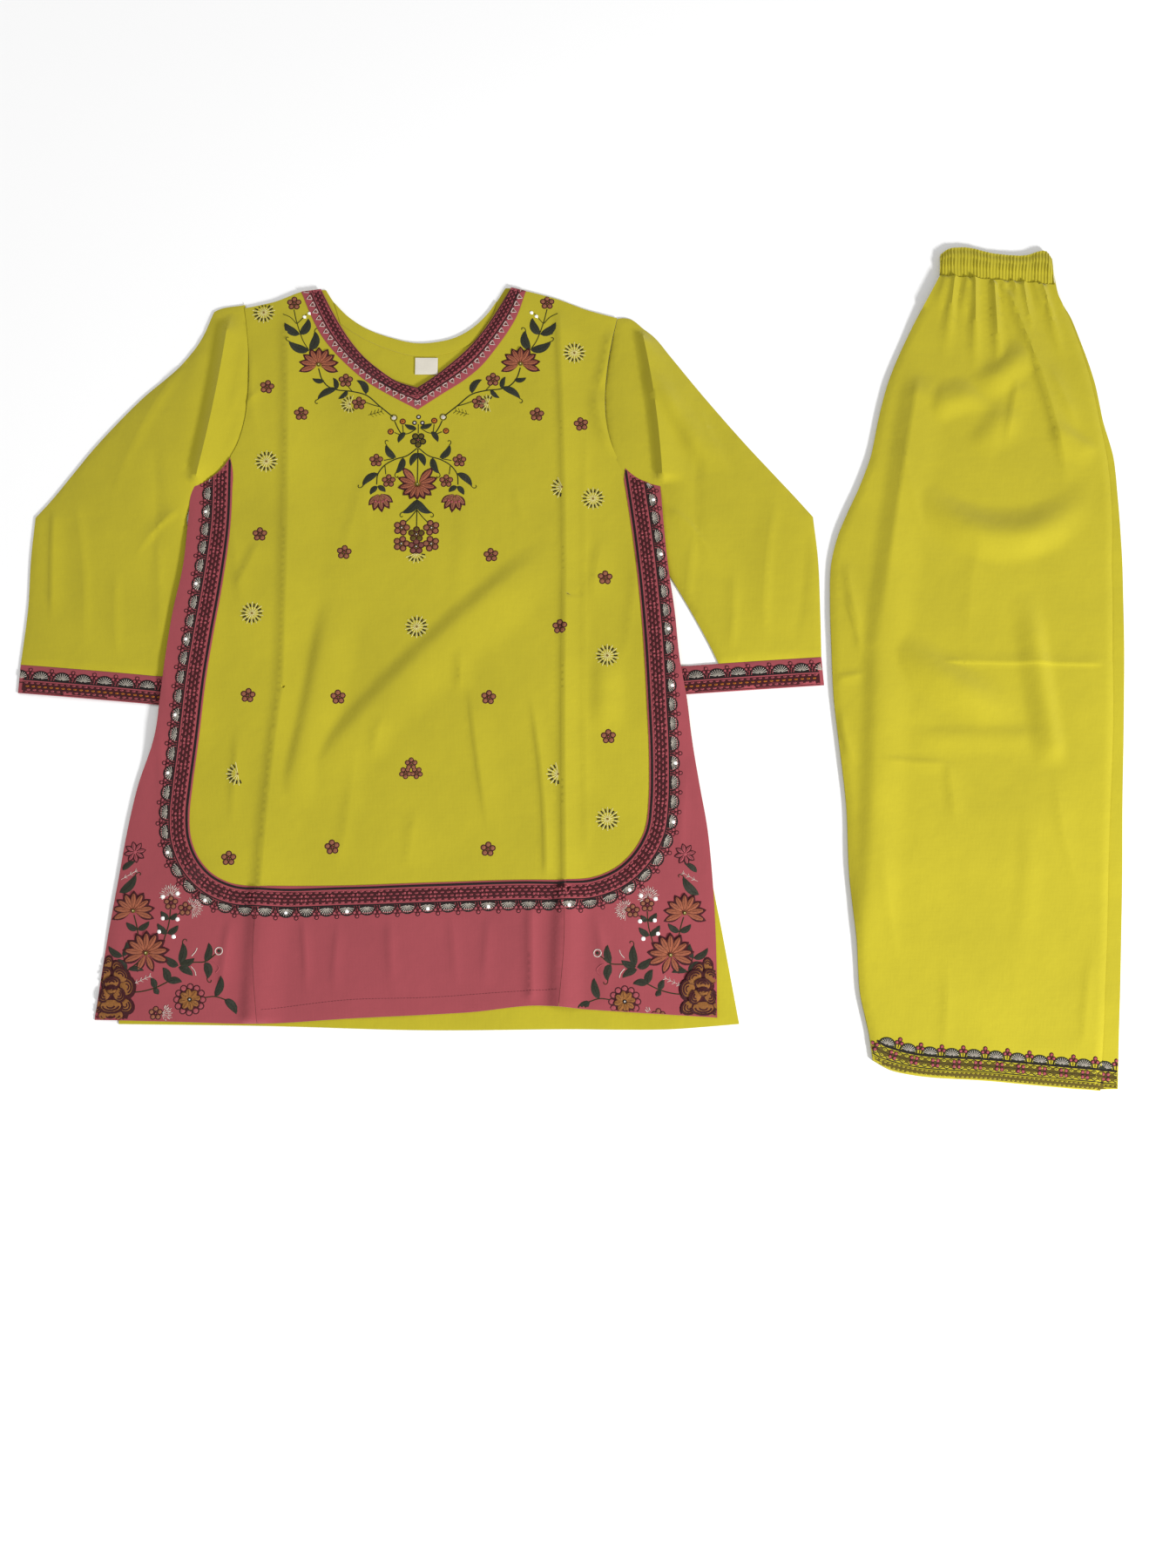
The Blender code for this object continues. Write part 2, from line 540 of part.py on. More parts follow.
def make_borders(finish, net):
    """The pink sides with their corners, and the plain hem panel between them."""
    left, bottom, right = centre_edge()
    side_left = smooth([(row.left, row.y) for row in BODY], 14.0)
    side_right = smooth([(row.right, row.y) for row in BODY], 14.0)
    hem = smooth(FRONT_HEM, 16.0)
    seam_left = smooth([tuple(row) for row in HEM_SEAM_LEFT] + [tuple(CENTRE_LEFT[-1])])
    seam_right = smooth([tuple(row) for row in HEM_SEAM_RIGHT] + [tuple(CENTRE_RIGHT[0])])
    seam_x_left, seam_x_right = HEM_SEAM_LEFT[0].x, HEM_SEAM_RIGHT[0].x
    marks = front_lines()
    inner_left, inner_right = offset(left, -SEAM), offset(right, -SEAM)
    outline = loop(armhole(ARMHOLE_LEFT, SEAM / 2)[CENTRE_FROM_LEFT + 1:], side_left,
                   [p for p in hem if p[0] < seam_x_left - 2], offset(seam_left, SEAM / 2)[:-1],
                   reversed(inner_left))
    sheet("border_left", outline, front_base, finish, marks=marks, net=net)
    outline = loop(reversed(armhole(ARMHOLE_RIGHT, -SEAM / 2)[CENTRE_FROM_RIGHT + 1:]),
                   reversed(inner_right), reversed(offset(seam_right, -SEAM / 2)[:-1]),
                   [p for p in hem if p[0] > seam_x_right + 2], reversed(side_right))
    sheet("border_right", outline, front_base, finish, marks=marks, net=net)
    under = offset(bottom, -SEAM)
    under[0] = (under[0][0] + SEAM / 2, under[0][1])
    under[-1] = (under[-1][0] - SEAM / 2, under[-1][1])
    outline = loop(offset(seam_left, -SEAM / 2)[:-1], under,
                   reversed(offset(seam_right, SEAM / 2)[:-1]),
                   reversed([p for p in hem if seam_x_left + 2 < p[0] < seam_x_right - 2]))
    sheet("hem_panel", outline, front_base, finish, marks=marks, net=net)


def make_bands(finish, net):
    """The embroidered band round the yellow front and the band round the V neck."""
    left, bottom, right = centre_edge()
    seam = loop(left, bottom, right)
    arm_left, arm_right = armhole(ARMHOLE_LEFT, SEAM), armhole(ARMHOLE_RIGHT, -SEAM)
    start = [p for p in arm_left[CENTRE_FROM_LEFT:] if edge_distance(*p, seam) < BORDER_BAND - 1]
    end = [p for p in arm_right[CENTRE_FROM_RIGHT:] if edge_distance(*p, seam) < BORDER_BAND - 1]
    top = {True: start[-1][1] - 3, False: end[-1][1] - 3}
    outer = [p for p in offset(seam, -BORDER_BAND) if p[1] < top[p[0] < LABEL.x]]
    outline = loop(reversed(start), offset(seam, BAND_OVER)[1:-1], end, reversed(outer))
    sheet("border_band", outline, band_base, finish, wall=BAND_WALL, marks=front_lines(), net=net)
    inner_left = smooth([row[:2] for row in NECK_LEFT])
    inner_right = smooth([row[:2] for row in NECK_RIGHT])
    outer_left = smooth([row[2:] for row in NECK_LEFT])
    outer_right = smooth([row[2:] for row in NECK_RIGHT])
    outline = loop(outer_left, reversed(outer_right), inner_right, reversed(inner_left))
    sheet("neck_band", outline, band_base, finish, wall=BAND_WALL, spacing=14.0)


def make_neck_inside(yellow, cream):
    """The strip that faces the back neck, and the small bare label below it."""
    outline = loop(smooth(FACING_LOWER), smooth(FACING_UPPER))
    sheet("back_neck_facing", outline, lambda x, y: FRONT_BASE, yellow, wall=BAND_WALL, spacing=18.0)
    x, y, w, h = LABEL.x, LABEL.y, LABEL.width / 2, LABEL.height / 2
    outline = [(x - w, y - h), (x + w, y - h), (x + w, y + h), (x - w, y + h)]
    sheet("neck_label", outline, lambda x, y: FRONT_BASE, cream, wall=BAND_WALL, spacing=30.0)


def sleeve_rings(sections):
    """Outer and inner rings of a flattened sleeve, one pair for each section."""
    outer_rings, inner_rings = [], []
    for outer_x, outer_y, bend_x, bend_y, inner_x, inner_y, loft in sections:
        ends = (outer_x, outer_y), (bend_x, bend_y), (inner_x, inner_y)
        width = math.dist(ends[0], ends[2])
        outer_top, outer_low, inner_top, inner_low = [], [], [], []
        for i in range(SLEEVE_PARTS + 1):
            t = i / SLEEVE_PARTS
            from_inner = ((1 - t) * width - SLEEVE_FLAT_EDGE) / SLEEVE_FLAT_EDGE / 2
            rise = loft * math.sin(math.pi * t) ** 0.8 * ease(from_inner) if i > 0 else 0.0
            for points, inset, z in ((outer_top, EDGE_ROUND, RESTING + rise),
                                     (outer_low, EDGE_ROUND / 2, 0.0),
                                     (inner_top, WALL + EDGE_ROUND, WALL + SEAM + rise),
                                     (inner_low, WALL + EDGE_ROUND, WALL)):
                place = inset / width + t * (1 - 2 * inset / width)
                points.append((*bend(*ends, place), z))
        edge_out, edge_in = ends[0], ends[2]
        middle, room = RESTING / 2, WALL / width
        outer_rings.append([(*edge_out, middle), *outer_top, (*edge_in, middle),
                            *reversed(outer_low)])
        inner_rings.append([(*bend(*ends, room), middle), *inner_top,
                            (*bend(*ends, 1 - room), middle), *reversed(inner_low)])
    return outer_rings, inner_rings


def make_sleeve(side, rows, depth, yellow, pink):
    """A sleeve from its armhole to the cuff seam, and the cuff band that carries on from it."""
    outwards = -1 if side == "left" else 1
    sections = [list(section) for section in smooth(rows, SLEEVE_STEP)]
    first = armhole(ARMHOLE_LEFT if side == "left" else ARMHOLE_RIGHT, outwards * SEAM)
    sections[0][0:2] = first[0]
    sections[0][2] += outwards * SEAM
    sections[0][4:6] = first[-1]
    for section in sections[1:4]:
        section[4] += outwards * SEAM
    outer_rings, inner_rings = sleeve_rings(sections)
    if outwards < 0:
        outer_rings = [list(reversed(ring)) for ring in outer_rings]
        inner_rings = [list(reversed(ring)) for ring in inner_rings]
    tube("sleeve_" + side, outer_rings, inner_rings, yellow)
    seam_row = sections[-1]
    cuff = []
    for i in range(CUFF_RINGS):
        share = i / (CUFF_RINGS - 1)
        dx = depth[0] * share
        dy = depth[1] * share - SEAM * (1 - share)
        cuff.append([seam_row[0] + dx, seam_row[1] + dy, seam_row[2] + dx, seam_row[3] + dy,
                     seam_row[4] + dx, seam_row[5] + dy, seam_row[6]])
    outer_rings, inner_rings = sleeve_rings(cuff)
    if outwards < 0:
        outer_rings = [list(reversed(ring)) for ring in outer_rings]
        inner_rings = [list(reversed(ring)) for ring in inner_rings]
    tube("cuff_" + side, outer_rings, inner_rings, pink)


def leg_outline(spread, right_end, top, inset=0.0):
    """Outline of the folded legs up to the given top line, from the upper leg's right edge
    for a spread of 0 to the lower leg's for 1."""
    left = smooth([(row.left + inset, row.y) for row in LEG], parts=2)
    right = smooth([(row.upper + (row.lower - row.upper) * spread - inset, row.y) for row in LEG],
                   parts=2)
    hem = [(x, y + inset) for x, y in smooth(LEG_HEM, 20.0)[1:-1]]
    return loop(left, hem, [(right_end[0] - inset, right_end[1] + inset)], reversed(right), top)


def leg_rise(x, y):
    """Folds and gathers of the upper leg."""
    height = highest(LEG_FOLDS, x, y)
    waist_y = WAIST_LEFT[1] + (x - WAIST_LEFT[0]) * (WAIST_RIGHT[1] - WAIST_LEFT[1]) / (
        WAIST_RIGHT[0] - WAIST_LEFT[0])
    below = waist_y - y
    for gather in GATHERS:
        along = below / gather.length
        if 0 <= along < 1:
            across = abs(x - gather.x - gather.lean * along) / (GATHER_HALF * (1 + 0.8 * along))
            height = max(height, gather.height * ease(1 - across) * ease((1 - along) / 0.7))
    return height + WAIST_BULK * ease(1 - below / GATHERED_WAY)


def make_trousers(finish):
    """Folded trousers: the lower leg on the floor, hidden layers, the upper leg and the waistband."""
    top_edge = list(reversed(smooth(BAND_TOP, 16.0)))
    waist_line = [WAIST_RIGHT, WAIST_LEFT]
    hem_right = (LEG_HEM[-1].x, LEG_HEM[-1].y)

    lower = leg_outline(1, LOWER_HEM_RIGHT, top_edge)
    sheet("trouser_leg_lower", lower, lambda x, y: 0.0, finish, spacing=90.0)

    low_top = [(x, y - LEG_INSET) for x, y in top_edge]
    wide = leg_outline(1, LOWER_HEM_RIGHT, low_top, LEG_INSET)
    narrow = leg_outline(0, hem_right, low_top, LEG_INSET)
    above = FRONT_BASE + WALL
    stack("trouser_layers", [(wide, FRONT_BASE), (wide, above),
                             (inwards(narrow, LAYER_GROOVE), above + SEAM / 2),
                             (narrow, above + SEAM), (narrow, LEG_TOP_BASE - SEAM)], finish)

    upper = leg_outline(0, hem_right, waist_line)

    def base(x, y):
        edge = edge_distance(x, y, upper + upper[:1])
        from_waist = ease((WAIST_RIGHT[1] - y) / 12.0)
        return LEG_TOP_BASE + leg_rise(x, y) * ease(edge / SOFT_EDGE + 1 - from_waist)

    gather_lines = [[(g.x + g.lean * t / 3 + shift, WAIST_LEFT[1] - 8 - g.length * t / 3)
                     for t in range(3)] for g in GATHERS for shift in (0.0, GATHER_HALF)]
    sheet("trouser_leg_upper", upper, base, finish, spacing=26.0,
          lines=fold_lines(LEG_FOLDS) + gather_lines)
    make_waistband(finish)


def inwards(outline, distance):
    """A closed outline moved inwards."""
    closed = [outline[-1]] + outline + [outline[0]]
    return offset(closed, distance)[1:-1]


def stack(name, levels, finish):
    """One closed solid with layered sides, through outlines of as many points at their heights."""
    count = len(levels[0][0])
    vertices = [(x, y, z) for outline, z in levels for x, y in outline]
    faces = []
    for level in range(len(levels) - 1):
        for i in range(count):
            j = (i + 1) % count
            low, high = level * count, (level + 1) * count
            faces.append((low + i, low + j, high + j, high + i))
    for level, turned in ((0, True), (len(levels) - 1, False)):
        triangles = fill(levels[level][0], [])[1]
        faces += [tuple(level * count + i for i in (reversed(t) if turned else t)) for t in triangles]
    return make_object(name, vertices, faces, finish)


def make_waistband(finish):
    """The elastic waistband: ribs raised on the outside over a plain inside."""
    columns = RIBS * RIB_POINTS
    low_line = (WAIST_LEFT, WAIST_RIGHT)
    high_line = smooth(BAND_TOP, 4.0)
    top, plain = [], []
    for row in range(WAIST_ROWS + 1):
        up = row / WAIST_ROWS
        for column in range(columns + 1):
            along = column / columns
            low_x = low_line[0][0] + (low_line[1][0] - low_line[0][0]) * along
            low_y = low_line[0][1] + (low_line[1][1] - low_line[0][1]) * along + SEAM
            high = along_curve(high_line, along)
            x, y = low_x + (high[0] - low_x) * up, low_y + (high[1] - low_y) * up
            bulge = WAIST_BULK * (0.55 + 0.45 * math.sin(math.pi * up))
            roll = WAIST_ROLL * ease((up - 0.75) / 0.25)
            roll += END_ROLL * ease(1 - min(along, 1 - along) / 0.05)
            rib = RIB_HEIGHT * (0.5 + 0.5 * math.cos(2 * math.pi * column / RIB_POINTS))
            rib *= 0.35 + 0.65 * math.sin(math.pi * min(1.0, 0.12 + 0.8 * up))
            floor = LEG_TOP_BASE + max(0.0, bulge - roll)
            plain.append((x, y, floor))
            top.append((x, y, floor + WAIST_WALL + rib))
    across, count = columns + 1, len(top)
    faces = []
    for row in range(WAIST_ROWS):
        for column in range(columns):
            a = row * across + column
            quad = (a, a + 1, a + 1 + across, a + across)
            faces.append(quad)
            faces.append(tuple(count + i for i in reversed(quad)))
    rim = [row * across for row in range(WAIST_ROWS, 0, -1)]
    rim += list(range(columns))
    rim += [row * across + columns for row in range(WAIST_ROWS)]
    rim += [WAIST_ROWS * across + column for column in range(columns, 0, -1)]
    for a, b in zip(rim, rim[1:] + rim[:1]):
        faces.append((b, a, a + count, b + count))
    make_object("waistband", top + plain, faces, finish)


def main():
    remove_all()
    yellow = material("yellow cotton", YELLOW)
    pink = material("pink cotton", PINK)
    maroon = material("embroidered band", MAROON)
    cream = material("label tape", CREAM)
    net = front_net()
    make_back(yellow)
    make_front(yellow, net)
    make_borders(pink, net)
    make_bands(maroon, net)
    make_neck_inside(yellow, cream)
    make_sleeve("left", SLEEVE_LEFT, CUFF_DEPTH_LEFT, yellow, maroon)
    make_sleeve("right", SLEEVE_RIGHT, CUFF_DEPTH_RIGHT, yellow, maroon)
    make_trousers(yellow)


main()
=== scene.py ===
"""Looks of a kurta set laid flat: cloth shells, embroidery, sequins, light and camera.

Sizes are in millimetres in the tables and turned to metres where meshes are made. +X runs to
the right, +Y up the garments to the neck and waist, +Z up from the surface they lie on.
"""
import math
import random
from collections import namedtuple

import bpy
import numpy as np
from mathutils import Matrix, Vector
from mathutils.bvhtree import BVHTree
from mathutils.geometry import delaunay_2d_cdt
from mathutils.kdtree import KDTree


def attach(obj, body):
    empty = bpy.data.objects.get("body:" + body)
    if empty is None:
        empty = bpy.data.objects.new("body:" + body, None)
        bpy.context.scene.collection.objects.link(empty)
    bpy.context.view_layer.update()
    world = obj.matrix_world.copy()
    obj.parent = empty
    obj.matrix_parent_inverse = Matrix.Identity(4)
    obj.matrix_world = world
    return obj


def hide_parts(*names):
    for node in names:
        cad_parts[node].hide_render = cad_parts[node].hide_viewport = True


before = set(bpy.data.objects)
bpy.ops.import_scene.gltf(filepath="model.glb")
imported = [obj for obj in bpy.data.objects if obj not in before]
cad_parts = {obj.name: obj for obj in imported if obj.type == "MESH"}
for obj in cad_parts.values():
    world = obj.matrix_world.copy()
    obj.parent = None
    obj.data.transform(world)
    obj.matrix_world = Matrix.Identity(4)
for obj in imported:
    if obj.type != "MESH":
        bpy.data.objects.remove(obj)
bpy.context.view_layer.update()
MM = 0.001


def table(columns, *rows):
    """Rows of numbers with named columns."""
    row_type = namedtuple("Row", columns)
    return [row_type(*row) for row in rows]


# Levels of the layers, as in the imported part
WALL = 1.2
SEAM = 0.3
RESTING = 2 * WALL + SEAM
BACK_TOP = WALL
FRONT_TOP = RESTING
FACING_TOP = 2.2
LABEL_TOP = 2.6
BAND_RAISED = 1.0       # bands over the front
LEG_LEVELS = (WALL, 2.7, 4.2, 5.7)      # tops of the four trouser layers
# a bent strip's box is stated shorter
LEAST_SHARE = 0.31      # of its box that a cut fills: a bent strip's box is worked out shorter
SHEET = 0.8             # thickness of a cloth shell
CREASE_DEPTH = 1.9      # how strongly the smaller creases show
ABOVE = 60              # rays that find the height of something start here
DOWN = Vector((0, 0, -1))
CRISP = 12              # folds whose steep side is no wider than this have a sharp crest

# The kurta's sides rise over the sleeves
LIFT = RESTING + 2 * SEAM
LIFT_REACH = 34.0
LIFT_SPREAD = 14.0
LIFT_OVER = 0.5
LIFT_SIDES = table("sign top full_top full_bottom bottom",
                   (-1, 150, 92, -62, -110), (1, 172, 138, -52, -100))
HIDDEN_EDGE = {-1: table("y x", (172, -386), (165, -390), (82, -390), (24, -392), (-27, -399)),
               1: table("y x", (173, 87), (163, 89.5), (80, 89), (50, 91), (15, 95), (-16, 99))}

TUCKED_UNDER = 8.0      # how far a sleeve goes on under the body
UPPER_LAYER = 1.7       # the upper layer of a sleeve or cuff is above this

# The left sleeve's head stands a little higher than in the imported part
SHOULDER = table("x rise", (-400, 0), (-366, 3.8), (-344, 8.0))

# Pressed creases, tucks and soft folds: from one end to the other, bowed sideways, steep on one
# side and easing off on the other (a minus sign turns it round)
FOLD_COLUMNS = "x0 y0 x1 y1 bow height steep gentle taper0 taper1"
FRONT_FOLDS = table(
    FOLD_COLUMNS,
    (-296, 374, -288, -39, -3, 3.4, 11, -40, 0.1, 0),
    (-288, -39, -303, -240, 2, 3.4, 11, -40, 0, 0),
    (-303, -240, -307, -368, 0, 4.2, 14, -34, 0, 0),
    (-240, 66, -284, -170, -4, 4.6, 17, -38, 0.3, 0.25),
    (-10, 116, -276, -152, 13, 4.8, 20, -46, 0.25, 0.25),
    (-17, 372, -9, 60, -2, 2.8, 7, -24, 0.1, 0), (-9, 60, -8, -240, 1, 3.2, 7, -22, 0, 0),
    (-8, -240, -13, -358, 1, 4.8, 14, -26, 0, 0), (38, 348, 22, 272, -2, 2.6, 10, -20, 0.25, 0.25),
    (22, 286, 44, 202, 7, 2.4, 11, -20, 0.3, 0.3), (28, 4, 30, -88, 0, 3.0, 18, -24, 0.4, 0.4))
# Smaller creases, added to the folds; troughs have a minus height
FRONT_CREASES = table(
    FOLD_COLUMNS,
    (-112, 6, -113, -44, 0, 1.0, 9, -16, 0.4, 0.3),
    (-104, -28, -81, -190, 2, 0.9, 5, -22, 0.3, 0.4),
    (-45, -36, -27, -232, -5, 1.0, 5, -12, 0.3, 0.1),
    (-41, -250, -40, -352, 0, 1.5, 9, -10, 0.2, 0.1),
    (-311, 122, -339, 56, 2, 0.9, 8, -20, 0.3, 0.4),
    (-328, -72, -331, -182, 2, 0.8, 7, -18, 0.3, 0.4),
    (30, 126, 17, 42, 2, 0.8, 10, -18, 0.4, 0.4),
    (-184, -62, -196, -114, 3, 0.9, 12, -16, 0.4, 0.4),
    (12, 250, 13, -228, 2, 0.4, 7, -9, 0.1, 0.1), (-330, 330, -318, 210, 4, 0.5, 7, -9, 0.3, 0.5),
    (-342, 150, -322, 30, 6, 0.45, 8, -14, 0.4, 0.5),
    (62, 120, 40, -40, -6, 0.5, 9, -14, 0.4, 0.5),
    (-212, 250, -196, 60, 5, 0.4, 12, -16, 0.5, 0.5),
    (-110, 200, -128, 0, -6, 0.4, 14, -18, 0.5, 0.5),
    (-214, 190, -238, 90, -4, 0.5, 10, -18, 0.4, 0.5),
    (-60, 180, -48, 130, 2, 0.4, 8, -12, 0.4, 0.4),
    (-150, -150, -160, -225, 3, 0.5, 10, -15, 0.4, 0.3),
    (-215, -90, -232, -230, -4, 0.5, 10, -15, 0.4, 0.3),
    (-262, -262, -256, -350, -2, 0.8, 6, -9, 0.3, 0.5),
    (-225, -268, -228, -350, 2, 0.6, 6, -10, 0.3, 0.5),
    (-176, -262, -170, -346, 2, 0.7, 8, -10, 0.3, 0.5),
    (-120, -262, -112, -344, -2, 0.6, 8, -12, 0.3, 0.5),
    (-80, -262, -84, -344, 2, 0.6, 7, -12, 0.3, 0.5),
    (-328, -262, -336, -362, 3, 0.9, 7, -10, 0.3, 0.5),
    (20, -262, 30, -355, -3, 0.8, 7, -10, 0.3, 0.5),
    (-405, 60, -398, -70, 3, 0.5, 7, -9, 0.4, 0.5),
    (-410, -60, -402, -190, -3, 0.5, 7, -9, 0.4, 0.5),
    (104, 40, 96, -110, -3, 0.5, 7, -9, 0.4, 0.5), (112, -110, 104, -230, 3, 0.5, 7, -9, 0.4, 0.5),
    (-350, 250, -312, 292, 3, 0.5, 6, 9, 0.4, 0.5))
UNDER_CREASES = table(
    FOLD_COLUMNS,
    (-300, 350, -290, -340, 8, 0.5, 6, 16, 0.1, 0.1),
    (-10, 360, -20, -350, -6, 0.5, 6, 16, 0.1, 0.1),
    (-240, 60, -120, -60, 10, 0.6, 12, 20, 0.4, 0.4),
    (-60, 200, -150, 40, -8, 0.5, 12, 20, 0.4, 0.4),
    (-360, -150, -200, -300, 8, 0.5, 10, 18, 0.4, 0.4),
    (90, -160, -40, -300, -9, 0.5, 10, 18, 0.4, 0.4))
LEFT_SLEEVE_CREASES = table(
    FOLD_COLUMNS,
    (-353, 364, -382, 174, -3, 3.8, 12, -22, 0.14, 0.04),
    (-338, 330, -352, 236, -3, 0.7, 8, -16, 0.2, 0.4),
    (-392, 318, -470, 140, 10, 0.7, 10, 18, 0.3, 0.5),
    (-430, 240, -425, 60, -8, -0.7, 12, 16, 0.3, 0.5),
    (-505, 170, -485, 0, -6, 0.8, 9, 18, 0.3, 0.3),
    (-523, 150, -518, 25, 1, 0.9, 5, -14, 0.15, 0.3),
    (-455, 90, -448, -15, 4, 0.6, 8, 12, 0.3, 0.3),
    (-420, 130, -412, -12, -4, 0.6, 9, 12, 0.3, 0.4),
    (-394, 150, -440, 90, 6, 0.9, 6, 12, 0.2, 0.6))
RIGHT_SLEEVE_CREASES = table(
    FOLD_COLUMNS,
    (66, 354, 89, 176, -4, 3.6, 9, -26, 0.12, 0.04),
    (80, 300, 144, 184, 3, 3.2, 15, -24, 0.35, 0.35),
    (92, 315, 160, 150, -10, 0.7, 10, 18, 0.3, 0.5),
    (130, 240, 130, 70, 8, -0.7, 12, 16, 0.3, 0.5), (206, 172, 190, 0, 6, 0.8, 9, 18, 0.3, 0.3),
    (232, 128, 216, 0, -4, -0.5, 8, 12, 0.3, 0.4), (158, 90, 152, -8, -4, 0.6, 8, 12, 0.3, 0.3),
    (122, 130, 112, -5, 4, 0.6, 9, 12, 0.3, 0.4), (93, 150, 140, 92, -6, 0.9, 6, 12, 0.2, 0.6))
SLEEVE_CREASES = {"left": LEFT_SLEEVE_CREASES, "right": RIGHT_SLEEVE_CREASES}
LEG_FOLDS = table(
    FOLD_COLUMNS,
    (352, 298, 301, 3, 2, 4.4, 19, -36, 0.1, 0), (301, 3, 276, -322, -3, 4.2, 18, -36, 0, 0.25),
    (472, 332, 402, 272, -5, 5.4, 22, -22, 0.4, 0.4),
    (424, 270, 350, 246, 7, 5.0, 27, -20, 0.4, 0.4),
    (446, 262, 404, 206, 0, 3.2, 20, -22, 0.4, 0.4),
    (440, 394, 497, 170, -9, 4.6, 9, -26, 0.1, 0.3),
    (330, 176, 530, 168, 54, 8.4, 34, 30, 0.4, 0.4), (296, 20, 438, -76, 4, 6.6, 30, 28, 0.5, 0.4),
    (450, 64, 470, -122, 0, 4.8, 23, -16, 0.35, 0.14))
LEG_CREASES = table(
    FOLD_COLUMNS,
    (352, 298, 303, 15, 2, 0.7, 6, -10, 0.1, 0.4), (482, 240, 530, 206, 3, 1.5, 14, 24, 0.35, 0.3),
    (482, 306, 512, 232, 0, 1.3, 8, -18, 0.35, 0.4),
    (452, 292, 434, 206, 0, 1.4, 7, -20, 0.2, 0.4), (362, -12, 526, -15, 0, 0.9, 3, -14, 0.1, 0.1),
    (325, -88, 472, -90, 0, 1.2, 14, 20, 0.3, 0.3),
    (294, -112, 373, -117, 0, 0.8, 6, 14, 0.3, 0.3),
    (365, -112, 371, -178, 0, 0.9, 9, -16, 0.2, 0.4), (272, 98, 288, 12, 4, 1.3, 8, -12, 0.3, 0.4),
    (258, -30, 288, -24, 0, 1.0, 6, 10, 0.3, 0.4), (268, 60, 284, -10, -3, 1.0, 6, -9, 0.3, 0.3),
    (262, -60, 276, -120, 3, 0.9, 6, -9, 0.3, 0.3), (330, 240, 372, 60, 8, 0.6, 12, -18, 0.4, 0.5),
    (410, 130, 392, -30, 8, 0.5, 12, -18, 0.3, 0.5),
    (470, -120, 492, -260, 6, 0.6, 9, -16, 0.3, 0.5),
    (440, -140, 418, -330, -8, 0.7, 14, -20, 0.4, 0.5),
    (300, -180, 318, -340, 6, 0.6, 10, -16, 0.3, 0.5),
    (500, -290, 484, -400, 3, 0.7, 8, -12, 0.4, 0.3),
    (356, -300, 350, -400, -3, 0.6, 9, -13, 0.4, 0.3))
GATHERS = table("x lean length height", (383, -12, 44, 1.6), (391, -14, 98, 2.6), (405, -9, 52, 1.8),
                (412, -4, 118, 3.0), (431, 3, 126, 3.2), (441, 3, 40, 1.6), (452, 8, 58, 2.2),
                (461, 12, 102, 2.8), (474, 12, 46, 1.6), (481, 18, 92, 2.6))
GATHER_HALF = 5.5
WAIST_LEFT = (376, 402)
WAIST_RIGHT = (494, 392)
WAIST_BULK = 2.2
WAIST_WALL = 1.6
BAND_TOP = table("x y", (378, 427), (386, 433), (402, 435), (434, 428), (465, 426), (488, 430),
                 (493, 422))
RIBS = 36
RIB_HEIGHT = 1.3

# Edge of the yellow front inside the border, from the left armhole round to the right one
FRONT_SEAM = table("x y", (-348, 204), (-348, 127), (-354, 65), (-360, 20), (-366, -30), (-370, -85),
                   (-375, -140), (-376.5, -168), (-374, -191), (-365, -212), (-349, -229),
                   (-328, -238.5), (-305, -241), (-217, -240), (-130, -237), (-46, -234.5),
                   (-9, -234.5), (19, -232), (44, -221), (61, -204), (72, -183), (76, -155),
                   (77, -120), (75, -54), (71, 24), (63, 110), (52, 193))
# The V neck band's inner and outer edges
NECK = {"left": table("inner_x inner_y outer_x outer_y",
                      (-261, 389, -281, 386), (-249, 365, -269, 357), (-239, 347, -260, 339),
                      (-228, 330, -246, 320), (-214, 313, -228, 301), (-198, 299, -212, 287),
                      (-181, 287, -190, 273), (-160, 280, -159, 256)),
        "right": table("inner_x inner_y outer_x outer_y",
                       (-65, 391, -50, 387), (-76, 371, -60, 357), (-86, 354, -70, 339),
                       (-99, 335, -80, 324), (-113, 319, -96, 303), (-127, 306, -113, 288),
                       (-142, 293, -132, 275), (-160, 280, -159, 256))}
CUFFS = table("side outer_x outer_y bend_x bend_y inner_x inner_y dx dy",
              ("left", -547, -14, -473, -20, -399, -27, -1, -29),
              ("right", 245, -6, 172, -11, 99, -16, 2, -29))
LEG_HEM = table("x y", (277, -404), (286, -410), (300, -415), (400, -426), (498, -435), (523, -437))

# Colours as they show on the cloth and threads (sRGB)
YELLOW = (171, 159, 28)
PINK = (147, 64, 71)
LABEL_CREAM = (206, 200, 186)
THREADS = {"maroon": (64, 20, 25), "rose": (164, 78, 86), "dusty": (146, 92, 66),
           "terracotta": (154, 88, 62), "ochre": (144, 94, 46), "leaf": (46, 48, 36),
           "stem": (42, 44, 18), "cream": (214, 204, 140), "silver": (182, 174, 162),
           "black": (30, 22, 22), "white": (206, 198, 188), "orange": (180, 104, 30),
           "olive": (92, 78, 22), "mauve": (122, 70, 62), "yellow": (176, 164, 44)}


def linear(colour):
    """A screen colour from 0 to 255 as linear light."""
    return tuple((c / 255 / 12.92 if c <= 10 else ((c / 255 + 0.055) / 1.055) ** 2.4)
                 for c in colour)


# Materials

